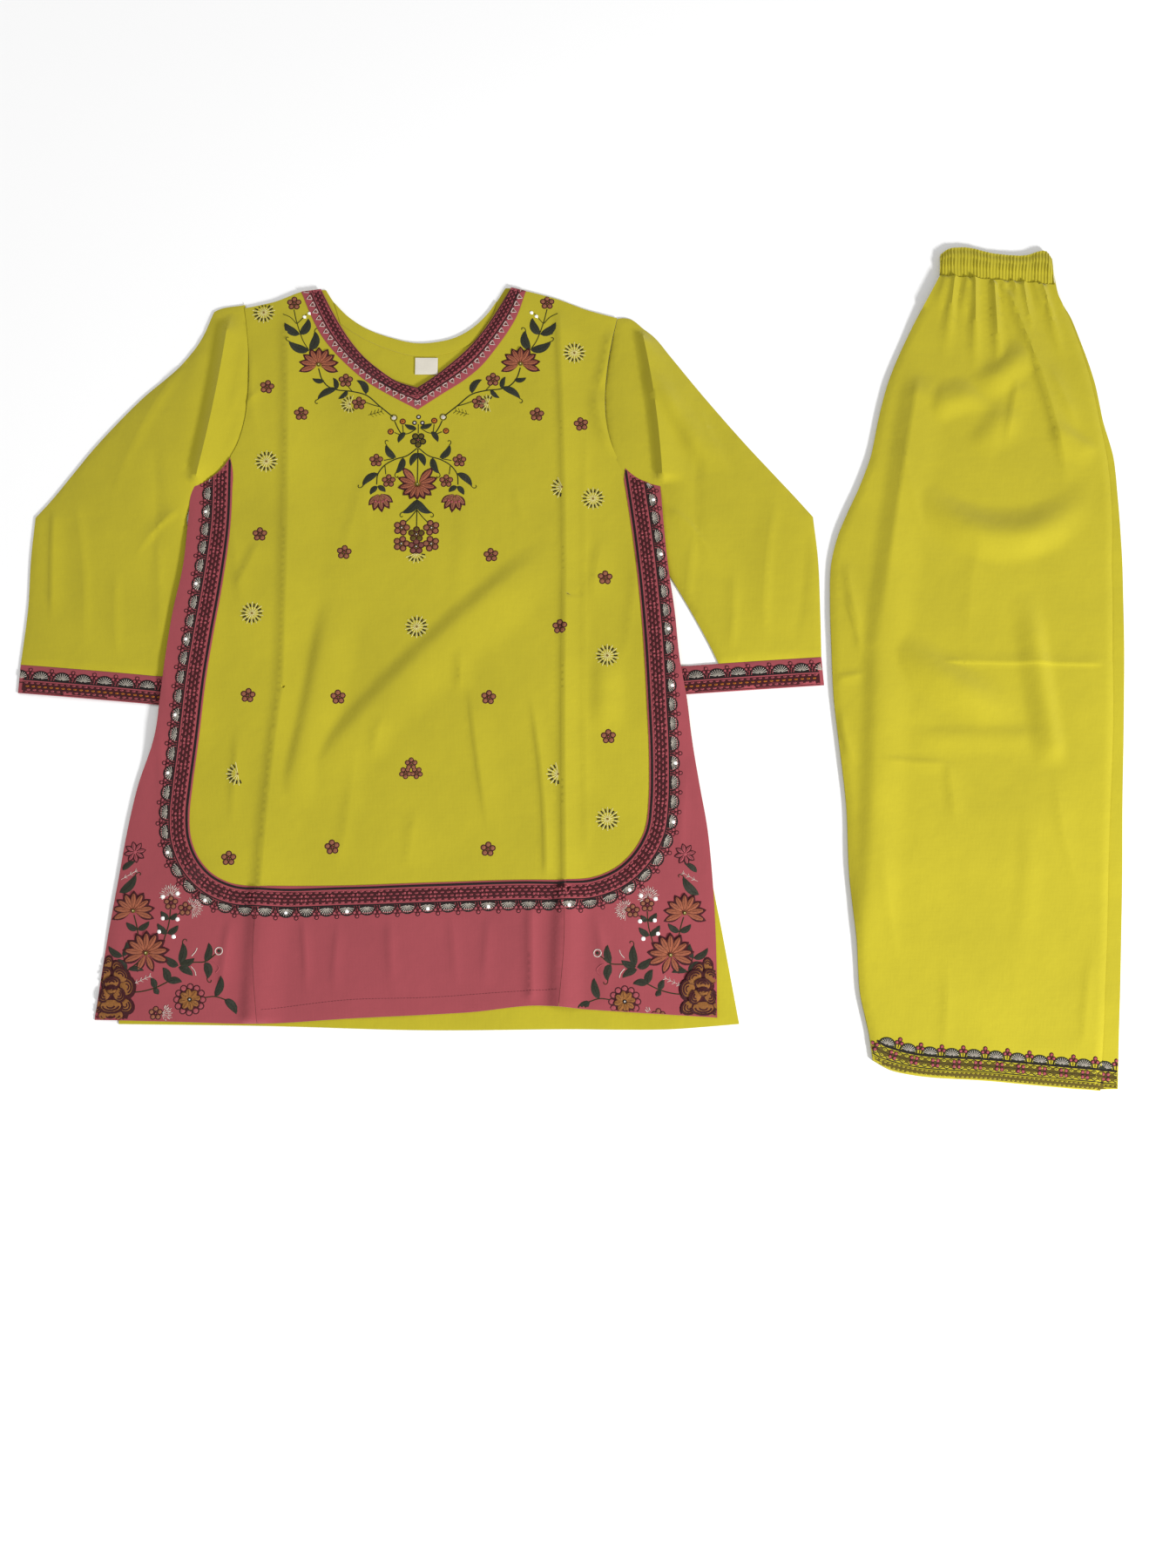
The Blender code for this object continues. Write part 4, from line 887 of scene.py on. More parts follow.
def bud_ring(s, x, y, size=4.4):
    """A round bud with an outline and a dark eye."""
    s.dot(x, y, size, "maroon", 0.35, 10)
    s.dot(x, y, size * 0.72, "orange", 0.65, 10)
    s.dot(x, y, size * 0.28, "maroon", 0.85, 7)


def tulip(s, x, y, size, turn):
    """A drooping bud of narrow petals that fan from its cup."""
    for k, (shift, length) in enumerate(((-46, 0.86), (46, 0.86), (-24, 1.0), (24, 1.0), (0, 1.05))):
        petal(s, x, y, turn + shift, size * length, 0.42 * size, "dusty", level=0.16 * k)
    for shift in (-30, -10, 12, 32):
        a = math.radians(turn + shift)
        s.dot(x + 0.5 * size * math.cos(a), y + 0.5 * size * math.sin(a), 0.08 * size, "rose", 1.6, 7)


def sprig(s, start, end, colour="stem", pairs=4, size=3.4):
    """A fine stalk with short hairs along it."""
    start, end = np.array(start, float), np.array(end, float)
    way = (end - start) / np.linalg.norm(end - start)
    side = np.array([-way[1], way[0]])
    s.stroke([start, (start + end) / 2, end], 0.7, colour, 0.35)
    for k in range(pairs):
        foot = start + (end - start) * (k + 0.6) / pairs
        for turn in (-1, 1):
            s.stroke([foot, foot + way * 1.6 + side * turn * size * 0.6,
                      foot + way * 2.4 + side * turn * size], 0.7, colour, 0.35)


# Where the motifs lie on the kurta

SUNBURSTS = table("x y start sweep", (-319, 363, 0, 360), (-311, 200, 0, 360), (-320, 39, 0, 360),
                  (-328, -126, 90, 200), (-156, 25, 0, 360), (0, 318, 0, 360), (-12, 172, 100, 160),
                  (19, 160, 0, 360), (33, -5, 0, 360), (-15, -126, 90, 180), (33, -171, 0, 360))
SMALL_FLOWERS = table("x y turn", (-313, 281, 80), (-277, 251, 94), (-38, 251, 86), (7, 240, 100),
                      (-315, 122, 90), (-230, 103, 84), (-83, 100, 96), (31, 76, 88), (-14, 25, 90),
                      (-321, -46, 85), (-232, -48, 95), (-84, -48, 84), (34, -88, 92),
                      (-334, -210, 90), (-234, -199, 96), (-83, -201, 86))
FAN = ((90, 1.0, 0.42), (62, 1.02, 0.42), (118, 1.0, 0.42), (35, 1.0, 0.41), (146, 1.0, 0.41),
       (8, 1.06, 0.41), (173, 1.04, 0.41), (-20, 1.1, 0.41), (202, 1.1, 0.41))
OPEN_FAN = ((-90, 0.86, 0.38), (-64, 0.92, 0.38), (-116, 0.92, 0.38), (-38, 0.98, 0.40),
            (-142, 0.98, 0.40), (-10, 1.06, 0.41), (-170, 1.06, 0.41), (20, 1.14, 0.42),
            (160, 1.12, 0.42), (50, 1.28, 0.46), (130, 1.28, 0.46))


# Leaves: base, tip, bow to the left, width, curl at the tip. Stems: width, then their points.
# Small flowers: middle and size. All as on the left side of the kurta
GARLAND_LEAVES = (
    (-281, 338, -297, 351, 0.14, 8.0, 0), (-281, 338, -273, 356, -0.14, 8.0, 0),
    (-271, 321, -292, 330, 0.14, 8.4, -1), (-271, 321, -266, 342, -0.16, 8.4, -1),
    (-255, 288, -267, 290, 0.14, 4.6, 0), (-243, 278, -246, 291, -0.14, 4.8, 0),
    (-242, 279, -261, 267, -0.12, 6.6, 1), (-231, 277, -240, 268, 0.1, 4.2, 0),
    (-212, 273, -222, 288, -0.2, 6.6, 0), (-160, 236, -172, 240, 0.1, 4.6, 0),
    (-171, 231, -178, 220, -0.1, 5.0, 0))
GARLAND_STEMS = (
    (1.1, -288, 366, -285, 353, -281, 340), (0.9, -285, 350, -291, 357, -299, 361),
    (0.9, -284, 350, -279, 356, -275, 361), (1.1, -281, 340, -277, 330, -272, 322),
    (1.5, -261, 301, -257, 289, -250, 281, -242, 278, -226, 276, -212, 272, -198, 260, -184, 248),
    (1.1, -230, 281, -226, 276), (1.1, -212, 264, -204, 261, -197, 259),
    (1.4, -182, 243, -179, 236, -175, 229), (1.1, -174, 239, -173, 230),
    (1.1, -182, 231, -175, 228), (1.1, -176, 229, -168, 230, -160, 235))
GARLAND_FLOWERS = (
    (-288, 373, 7.6), (-233, 288, 7.6), (-219, 263, 7.4))
MEDALLION_LEAVES = (
    (-180, 204, -190, 218, 0.16, 6.4, -1), (-173, 204, -180, 187, 0.12, 6.4, 1),
    (-198, 187, -213, 173, -0.12, 6.6, -1), (-198, 173, -205, 164, -0.1, 5.0, 0),
    (-198, 173, -190, 167, 0.1, 5.0, 0), (-158, 159, -173, 145, 0.16, 7.4, 1),
    (-158, 209, -165, 195, -0.1, 6.0, 0))
MEDALLION_STEMS = (
    (1.4, -159, 214, -169, 206, -181, 202, -192, 195, -198, 186, -199, 175),
    (1.1, -182, 203, -192, 201), (1.1, -191, 195, -190, 186),
    (1.2, -158, 148, -165, 139, -169, 135))
MEDALLION_FLOWERS = (
    (-200, 201, 7.2), (-187, 179, 7.2))
CORNER_LEAVES = (
    (-436, -222, -424, -213, 0.1, 5.0, 0), (-438, -244, -423, -226, -0.12, 8.0, -1),
    (-419, -280, -430, -273, 0.12, 5.4, 0), (-419, -280, -408, -272, -0.12, 5.4, 0),
    (-426, -319, -411, -320, 0.1, 4.6, 0), (-428, -320, -437, -309, -0.12, 5.0, 0),
    (-432, -306, -446, -296, 0.14, 6.0, 0), (-432, -306, -429, -292, -0.14, 5.4, 0),
    (-389, -270, -397, -262, 0.1, 5.4, 0), (-388, -270, -382, -264, -0.1, 4.6, 0),
    (-390, -284, -400, -274, 0.1, 5.6, 0), (-390, -284, -380, -276, -0.1, 5.6, 0),
    (-377, -313, -375, -293, -0.1, 7.4, -1), (-378, -315, -391, -306, 0.12, 7.0, 0),
    (-377, -314, -363, -308, -0.1, 6.6, 0), (-378, -317, -364, -325, 0.1, 6.6, 0),
    (-353, -311, -350, -293, -0.12, 6.6, 0), (-353, -312, -350, -328, 0.14, 7.6, 1),
    (-388, -331, -393, -317, -0.12, 7.2, 0), (-388, -331, -374, -331, 0.12, 6.6, 0),
    (-400, -337, -404, -327, -0.1, 5.6, 0), (-401, -338, -396, -343, 0.1, 5.0, 0),
    (-342, -345, -337, -325, -0.1, 7.0, 0), (-333, -348, -321, -362, 0.12, 7.4, 0))
CORNER_STEMS = (
    (1.4, -423, -266, -420, -276, -418, -286), (1.5, -411, -306, -418, -313, -427, -320),
    (1.1, -428, -320, -430, -310, -432, -304), (1.3, -388, -260, -389, -274, -393, -290),
    (1.0, -375, -262, -382, -266), (1.4, -376, -314, -364, -312, -352, -311, -343, -304),
    (1.4, -388, -331, -398, -336, -412, -340, -422, -341),
    (1.3, -352, -346, -342, -345, -332, -348))
CORNER_FLOWERS = (
    (-388, -254, 7.2), (-374, -260, 7.2))


def mirrored(x, middle, way):
    """x itself, or its mirror image where way is -1."""
    return x if way > 0 else 2 * middle - x


def place(s, at, way, leaves, stems, flowers):
    """Leaves, stems and small flowers from their tables."""
    for x0, y0, x1, y1, bow, width, curl in leaves:
        leaf(s, at(x0, y0), at(x1, y1), bow * way, width, curl * way)
    for width, *numbers in stems:
        stem(s, *(at(*point) for point in zip(numbers[::2], numbers[1::2])), width=width)
    for x, y, size in flowers:
        small_flower(s, *at(x, y), size)


def garland(s, middle, way, drop=0.0):
    """One side of the neck garland; way -1 mirrors it about the middle."""
    def at(x, y):
        return (mirrored(x, middle, way), y + drop)

    place(s, at, way, GARLAND_LEAVES, GARLAND_STEMS, GARLAND_FLOWERS)
    for x, y in ((-272, 362), (-277, 358)):
        SEQUIN_PLACES.append((*at(x, y), 2.0))
    lotus(s, *at(-261, 305), 19.5, FAN)
    sunburst(s, *at(-228, 262), 8.0, start=60 * way, sweep=240 * way)
    sprig(s, at(-209, 250), at(-195, 254))
    x, y = at(-183, 247)
    s.dot(x, y, 2.6, "white", 0.5, 8)
    ring(s, x, y, 3.3, 1.1, "black")
    bud_ring(s, *at(-174, 243), 4.0)
    bud_ring(s, *at(-186, 232), 4.0)


def medallion(s, middle):
    """The group of flowers below the V of the neck."""
    for way in (1, -1):
        def at(x, y):
            return (mirrored(x, middle, way), y)

        place(s, at, way, MEDALLION_LEAVES, MEDALLION_STEMS, MEDALLION_FLOWERS)
        tulip(s, *at(-196, 166), 20.0, -82 if way > 0 else -98)
    for dx, dy in ((0, 4.0), (-4.0, -2.4), (4.0, -2.4)):
        s.dot(middle + dx, 244 + dy, 3.1, "black", 0.35, 8)
        s.dot(middle + dx, 244 + dy, 1.7, "white", 0.65, 8)
    stem(s, (middle, 240), (middle, 230), width=1.1)
    small_flower(s, middle, 223, 8.4, "olive", "black", 126)
    stem(s, (middle, 214), (middle, 198), (middle, 176), width=1.4)
    lotus(s, middle, 175, 19.0, OPEN_FAN)
    stem(s, (middle, 158), (middle, 145), (middle, 130), width=1.3)
    for dx, y, kind in ((-15, 129, "dusty"), (15, 129, "dusty"), (0, 122, "olive"), (-15, 112, "dusty"),
                        (15, 112, "dusty"), (0, 109, "mauve")):
        small_flower(s, middle + dx, y, 8.6, kind, "maroon", 90 + dx, "white")
    sunburst(s, middle, 102, 8.8, start=190, sweep=160)


def corner(s, middle, way, drop):
    """The flowers in the kurta's lower left corner; way -1 mirrors them to the right one."""
    def at(x, y):
        return (mirrored(x, middle, way), y + drop)

    place(s, at, way, CORNER_LEAVES, CORNER_STEMS, CORNER_FLOWERS)
    x, y = at(-425, -204)
    for angle in range(0, 360, 45):
        petal(s, x, y, angle + 12, 11.0, 6.4, "rose", level=angle / 600)
    s.dot(x, y, 2.4, "rose", 0.9, 8)
    sprig(s, at(-437, -231), at(-422, -222), "white", 3, 2.0)
    lotus(s, *at(-424, -262), 20.0, FAN)
    lotus(s, *at(-410, -303), 22.0, FAN + ((-66, 0.9, 0.36), (-112, 0.9, 0.36)))
    sunburst(s, *at(-389, -246), 8.6, ray="white", dash="white", start=-30, sweep=240, wide=0.65)
    sunburst(s, *at(-367, -259), 8.4, ray="white", dash="white", start=-100 if way > 0 else 280,
             sweep=220 * way, wide=0.65)
    for x, y in ((-396, -248), (-382, -245), (-395, -269), (-381, -270), (-384, -287), (-398, -282)):
        SEQUIN_PLACES.append((*at(x, y), 2.3))
    x, y = at(-340, -301)
    s.dot(x, y, 2.0, "leaf", 0.5, 8)
    ring(s, x, y, 3.6, 1.4, "white", 0.55)
    stem(s, at(-350, -311), at(-343, -313), at(-339, -318), at(-342, -322), colour="rose", width=1.2)
    stem(s, at(-366, -306), at(-362, -301), at(-361, -298), colour="white", width=0.9)
    stem(s, at(-366, -316), at(-362, -321), at(-361, -325), colour="white", width=0.9)
    sprig(s, at(-421, -333), at(-404, -325), "white", 4, 2.4)
    rose(s, *at(-441, -340), way)
    x, y = at(-366, -348)
    for colour, size, rise in (("maroon", 4.3, 0.3), ("rose", 3.3, 0.5)):
        for k in range(12):
            angle = math.radians(30 * k)
            s.dot(x + 12.4 * math.cos(angle), y + 12.4 * math.sin(angle), size, colour, rise, 10)
    s.dot(x, y, 12.6, "maroon", 0.6, 18)
    s.dot(x, y, 11.9, "ochre", 0.75, 18)
    for k in range(8):
        petal(s, x, y, 45 * k + 10, 12.0, 10.6, "ochre", "maroon", level=0.3 + 0.1 * k)
    s.dot(x, y, 2.8, "black", 1.6, 8)
    s.dot(x, y, 1.4, "white", 1.9, 7)
    small_flower(s, *at(-398, -361), 7.0)
    sunburst(s, *at(-392, -362), 8.6, ray="white", dash="white", start=-80 if way > 0 else 260,
             sweep=150 * way, wide=0.65)


ROSE_PETALS = table("x y radius long turn", (-5, 27, 5.5, 1.6, 80), (5, 22, 6.5, 1.5, 120),
                    (0, -23, 9.5, 1.9, 0), (-13, -14, 8.5, 1.3, 40), (13, -13, 8.5, 1.3, -40),
                    (-14, 4, 9.5, 1.25, 85), (14, 4, 9.5, 1.25, 95), (-8, 16, 8, 1.3, 40),
                    (8, 15, 8.5, 1.3, -40), (0, -14, 9.0, 1.75, 0), (-6, -3, 7.5, 1.35, 60),
                    (7, -3, 7.5, 1.35, 120), (0, 8, 7.5, 1.4, 10), (0, 1, 6, 1.2, 0))


def rose(s, x, y, way):
    """A full rose of overlapping, outlined petals with lines along their rims."""
    for k, row in enumerate(ROSE_PETALS):
        px, py = x + row.x * way, y + row.y
        turn, level = math.radians(row.turn) * way, 0.15 * k
        s.dot(px, py, row.radius + 0.7, "maroon", 0.42 + level, 16, row.long, turn)
        s.dot(px, py, row.radius, "ochre", 0.55 + level, 16, row.long, turn)
        outward = math.degrees(math.atan2(row.y, row.x * way)) - math.degrees(turn)
        for share in (0.24, 0.5, 0.76):
            line = arc(0, 0, row.radius * share, outward - 85, outward + 85, 8) * (row.long, 1)
            c, sn = math.cos(turn), math.sin(turn)
            line = line @ np.array([[c, sn], [-sn, c]]) + (px, py)
            s.stroke(line, 1.8, "maroon", 0.78 + level, foot=0.36 + level)
    whorl = [(x + 0.55 * t * math.cos(t * 1.3), y + 2 + 0.55 * t * math.sin(t * 1.3))
             for t in np.linspace(1.0, 9.0, 22)]
    s.stroke(whorl, 0.9, "maroon", 2.7)


def chain_row(s, curve, colour, edge, pitch=6.2, width=2.5, phase=0.0, ringed=False):
    """A row of oval chain links, each with a slit; ringed ones have a rim of the edge colour."""
    points, ahead = even(curve, pitch)
    for (x, y), (dx, dy) in zip(points, ahead):
        x, y, turn = x + dx * pitch * phase, y + dy * pitch * phase, math.atan2(dy, dx)
        if ringed:
            s.dot(x, y, width * 0.72, edge, 0.3, 8, 0.66 * pitch / width, turn)
        s.dot(x, y, width * 0.46, colour, 0.62, 8, 0.98 * pitch / (width * 1.12), turn)
        s.dot(x, y, width * 0.15, edge, 0.8, 5, 1.7 * pitch / width, turn)


def squares(s, curve, pitch, colour, edge, apart=2.0, size=1.8):
    """Groups of four knots set in a square along a curve."""
    points, ahead = even(curve, pitch)
    for (x, y), (dx, dy) in zip(points, ahead):
        for along in (-apart, apart):
            for across in (-apart, apart):
                kx, ky = x + dx * along - dy * across, y + dy * along + dx * across
                s.dot(kx, ky, size + 0.6, edge, 0.7, 8)
                s.dot(kx, ky, size, colour, 1.0, 8)


def scallops(s, curve, pitch, wide, high, colour, edge, tip, reach=0.8):
    """Filled half rounds that stand on a curve, on its left side, with knots between them."""
    steps = np.array([0, 0.3, 0.6, 0.82, 0.94, 1.0])
    points, ahead = even(curve, pitch)
    for (x, y), (dx, dy) in zip(points, ahead):
        foot, along, out = np.array([x, y]), np.array([dx, dy]), np.array([-dy, dx])
        s.stroke([foot + out * high * t for t in steps], 2 * wide, edge, 0.3,
                 lambda t: np.sqrt(1 - 0.98 * steps ** 2))
        rim = [foot + along * wide * 0.94 * math.cos(a) + out * high * 0.94 * math.sin(a)
               for a in np.linspace(0, math.pi, 10)]
        s.stroke(rim, 2.0, edge, 0.75)
        for a in np.linspace(0.28, math.pi - 0.28, 9):
            ray = along * wide * math.cos(a) + out * high * math.sin(a)
            s.stroke([foot + out * 0.9 + ray * d for d in (0.1, 0.45, 0.76)], 1.45, colour, 0.65)
        knot = foot + along * pitch / 2 + out * high * reach
        for shift, rise in ((-2.3, -1.1), (2.3, -1.1), (0.0, 2.4)):
            kx, ky = knot + along * shift + out * rise
            s.dot(kx, ky, 2.7, "maroon", 0.4, 9)
            s.dot(kx, ky, 1.8, tip, 0.75, 8)
        s.stroke([knot - out * high * (reach - 0.1), knot - out * 3.0, knot], 1.2, "maroon", 0.5)


def border_stitches(s):
    """The band round the yellow front: chains, half rounds and knots."""
    seam = smooth(FRONT_SEAM, 3.0)
    s.stroke(shifted(seam, -8.4), 16.4, "maroon", 0.25)
    s.stroke(shifted(seam, 0.3), 2.8, "black", 0.55)
    for k, shift in enumerate((-3.4, -6.8, -10.2, -13.6)):
        chain_row(s, shifted(seam, shift), "rose", "maroon", 6.2, 2.5, 0.5 * (k % 2))
    squares(s, shifted(seam, -8.5), 24.8, "rose", "maroon")
    s.stroke(shifted(seam, -16.6), 1.9, "black", 0.5)
    outer = shifted(seam, -17.4)[::-1]
    scallops(s, outer, 19.6, 9.2, 9.4, "silver", "black", "rose")
    points, ahead = even(outer, 19.6)
    for n, ((x, y), (dx, dy)) in enumerate(zip(points, ahead)):
        if n % 7 in (2, 5):
            SEQUIN_PLACES.append((x - dy * 5, y + dx * 5, 2.2))


def neck_stitches(s):
    """The band round the V of the neck."""
    for side, way in (("left", 1), ("right", -1)):
        rows = NECK[side]

        def across(share):
            line = [(row.inner_x + (row.outer_x - row.inner_x) * share,
                     row.inner_y + (row.outer_y - row.inner_y) * share) for row in rows]
            return smooth(line, 3.0)

        s.stroke(across(0.30), 10.6, "maroon", 0.25)
        s.stroke(across(0.04), 2.0, "black", 0.55)
        for k, share in enumerate((0.16, 0.30, 0.44)):
            chain_row(s, across(share), "rose", "maroon", 5.2, 2.2, 0.5 * (k % 2))
        s.stroke(across(0.57), 1.7, "black", 0.5)
        points, ahead = even(across(0.62), 8.2)
        for (x, y), (dx, dy) in zip(points, ahead):
            foot, along, out = np.array([x, y]), np.array([dx, dy]), np.array([dy, -dx]) * way
            s.stroke([foot - along * 4.1, foot + out * 3.4, foot + along * 4.1], 1.1, "maroon", 0.35)
            s.stroke([foot - along * 2.6 + out * 0.8, foot + out * 5.4, foot + along * 2.6 + out * 0.8],
                     1.35, "white", 0.6)
            s.stroke([foot - along * 2.6 + out * 0.8, foot + out * 0.4, foot + along * 2.6 + out * 0.8],
                     1.2, "white", 0.55)
            s.dot(*(foot + out * 2.3), 1.0, "mauve", 0.6, 7)


def cuff_stitches(s, row):
    """One face of a cuff band, from its seam to its edge."""
    def across(share):
        start = (row.outer_x + row.dx * share, row.outer_y + row.dy * share)
        control = (row.bend_x + row.dx * share, row.bend_y + row.dy * share)
        end = (row.inner_x + row.dx * share, row.inner_y + row.dy * share)
        t = np.linspace(0, 1, 40)[:, None]
        return (np.array(start) * (1 - t) ** 2 + 2 * np.array(control) * t * (1 - t)
                + np.array(end) * t ** 2)

    base = across(0.5) if row.side == "left" else across(0.5)[::-1]
    s.stroke(across(0.76), 13.4, "maroon", 0.25)
    scallops(s, base, 20.4, 9.8, 9.2, "silver", "black", "rose")
    s.stroke(across(0.52), 1.9, "black", 0.55)
    for share, colour in ((0.63, "rose"), (0.75, "orange"), (0.87, "rose")):
        chain_row(s, across(share), colour, "maroon", 6.0, 2.5, 2 * share)
    s.stroke(across(0.975), 2.0, "black", 0.5)


def hem_stitches(s):
    """The band stitched at the trouser hem, over the edges of both legs."""
    hem = smooth(LEG_HEM, 3.0)
    s.stroke(shifted(hem, 4.0), 7.6, "olive", 0.3)
    for shift in (2.2, 5.8):
        chain_row(s, shifted(hem, shift), "yellow", "stem", 4.4, 2.2, shift / 6)
    s.stroke(shifted(hem, 8.0), 1.7, "black", 0.4)
    s.stroke(shifted(hem, 13.8), 11.4, "olive", 0.15)
    for shift in (11.0, 16.6):
        chain_row(s, shifted(hem, shift), "yellow", "black", 7.0, 3.9, 0.5, True)
    s.stroke(shifted(hem, 13.8), 1.1, "black", 0.4)
    squares(s, shifted(hem, 13.8), 21.0, "rose", "maroon", 2.3, 2.1)
    s.stroke(shifted(hem, 20.0), 2.6, "black", 0.5)
    half = even(shifted(hem, 20.6), 10.5)[0][1:]
    scallops(s, half, 21.0, 8.6, 8.2, "silver", "leaf", "rose", 0.85)


def stitch_line(s, curve, colour, pitch=3.0, length=2.0, width=0.6):
    """A running line of plain stitches."""
    points, ahead = even(curve, pitch)
    for place, way in zip(points[:-1], ahead[:-1]):
        s.stroke([place, place + way * length / 2, place + way * length], width, colour, 0.22)


SEQUIN_PLACES = []
FRONT_MIDDLE = -158      # the embroidery is mirrored about this line
HEM_MIDDLE = -158.5


def sequins(cloths):
    """Small domed discs that lie on the stitches."""
    seat = Stitching("sequins", cloths)
    for x, y, radius in SEQUIN_PLACES:
        seat.dot(x, y, radius, "foil", 0.9, 12)
    return seat.build()


FINISHES = {name: thread_finish(name, colour) for name, colour in THREADS.items()}
FINISHES["foil"] = sequin_finish()
yellow = cotton("yellow cotton cloth", YELLOW)
pink = cotton("pink cotton cloth", PINK)
cream = cotton("cream label tape", LABEL_CREAM, thread=0.4)


# The kurta

def make_kurta():
    """Back, front, borders, bands, facing and label."""
    creases = fold_lines(FRONT_FOLDS + FRONT_CREASES)
    pieces = {}
    back = Sheet(node_outline("kurta_back"), back_top, back_under, 6.0)
    pieces["back"] = cloth("back_cloth", "kurta_back", yellow, [back])
    for node, finish, slot in (("kurta_front", yellow, "yellow_cotton"),
                               ("border_left", pink, "pink_cotton"),
                               ("border_right", pink, "pink_cotton"),
                               ("hem_panel", pink, "pink_cotton")):
        item = Sheet(node_outline(node), front_top, spacing=4.2, kept=creases)
        pieces[node] = cloth(node + "_cloth", node, finish, [item])

    def band_top(x, y):
        return front_top(x, y) + BAND_RAISED

    for node in ("border_band", "neck_band"):
        item = Sheet(node_outline(node), band_top, spacing=4.0, kept=creases, edge_drop=0.5)
        pieces[node] = cloth(node + "_cloth", node, pink, [item])
    facing = Sheet(node_outline("back_neck_facing"), level(FACING_TOP), spacing=4.5)
    pieces["facing"] = cloth("facing_cloth", "back_neck_facing", yellow, [facing])
    tag = Sheet(node_outline("neck_label"), lambda x, y: LABEL_TOP + ripple(x, y, 2, 20, 0.12),
                spacing=2.5)
    pieces["label"] = cloth("label_cloth", "neck_label", cream, [tag])
    return pieces


def tucked(outline, sign):
    """A sleeve's outline with its hidden edge carried a little further under the body."""
    hidden = smooth([(row.x, row.y) for row in HIDDEN_EDGE[sign]], 1.0)
    share = 1 - ease((distance_to(outline, hidden) - 1.5) / 5)
    rise = np.interp(outline[:, 0], [row.x for row in SHOULDER], [row.rise for row in SHOULDER])
    rise = rise * ease((outline[:, 1] - 325) / 15) * (sign < 0)
    return outline + np.column_stack([-sign * TUCKED_UNDER * share, rise])


def tube_sheets(node, creases, loft_times):
    """The upper and lower layer of a flattened sleeve or cuff; they meet at its folded edges."""
    outline = tucked(node_outline(node, UPPER_LAYER), -1 if node.endswith("left") else 1)
    upper = Sheet(outline, measured(node, UPPER_LAYER), spacing=4.5, kept=fold_lines(creases),
                  edge_drop=0.0)
    x, y = upper.places.T
    upper.top = relaxed(upper.top, upper.triangles, loft_times, upper.rim < 1.0)
    raised = sum(fold_height(fold, x, y) for fold in creases) * CREASE_DEPTH
    upper.top = upper.top + raised * ease(upper.rim / 12)
    edge = 1 - ease(upper.rim / 4.0)
    upper.top = np.maximum(upper.top, RESTING - 0.4) * (1 - 0.42 * edge ** 2)
    upper.under = upper.top - SHEET
    lower = Sheet(outline, level(0.95), level(0.1), spacing=8.0, edge_drop=0.0)
    rise = (1 - ease(lower.rim / 3.0)) ** 2
    lower.top = lower.top + 0.35 * rise
    lower.under = lower.under + 0.5 * rise
    return [upper, lower]


def make_sleeves():
    """Both sleeves, each with its cuff."""
    pieces = {}
    for side in ("left", "right"):
        creases = SLEEVE_CREASES[side]
        pieces["sleeve_" + side] = cloth("sleeve_cloth_" + side, "sleeve_" + side,
                                         yellow, tube_sheets("sleeve_" + side, creases, 6))
        pieces["cuff_" + side] = cloth("cuff_cloth_" + side, "cuff_" + side, pink,
                                       tube_sheets("cuff_" + side, creases, 2))
    return pieces


# The trousers

def make_trousers():
    """The folded legs, layer by layer, and the waistband."""
    creases = np.vstack([fold_lines(LEG_FOLDS + LEG_CREASES), gather_lines()])
    outline = node_outline("trouser_leg_upper")
    upper = Sheet(outline, leg_top, spacing=4.2, kept=creases, edge_drop=0.0)
    y = upper.places[:, 1]
    side = np.where(y > WAIST_RIGHT[1] - 22, 0.0, 1 - ease(upper.rim / 7.0))
    upper.top = upper.top - 1.7 * side ** 2
    upper.under = upper.top - SHEET
    pieces = {"leg_upper": cloth("leg_upper_cloth", "trouser_leg_upper", yellow,
                                 [upper])}
    lower_outline = node_outline("trouser_leg_lower")
    layers = [Sheet(node_outline("trouser_layers"), level(LEG_LEVELS[2]), spacing=9.0),
              Sheet(lower_outline, level(LEG_LEVELS[1]), spacing=9.0)]
    pieces["layers"] = cloth("hidden_layers_cloth", "trouser_layers", yellow, layers)
    lower = Sheet(lower_outline, level(LEG_LEVELS[0]),
                  lambda a, b: 0.1 + np.abs(ripple(a, b, 4, 90, 0.25)), spacing=8.0)
    pieces["leg_lower"] = cloth("leg_lower_cloth", "trouser_leg_lower", yellow,
                                [lower])
    pieces["waistband"] = make_waistband()
    return pieces


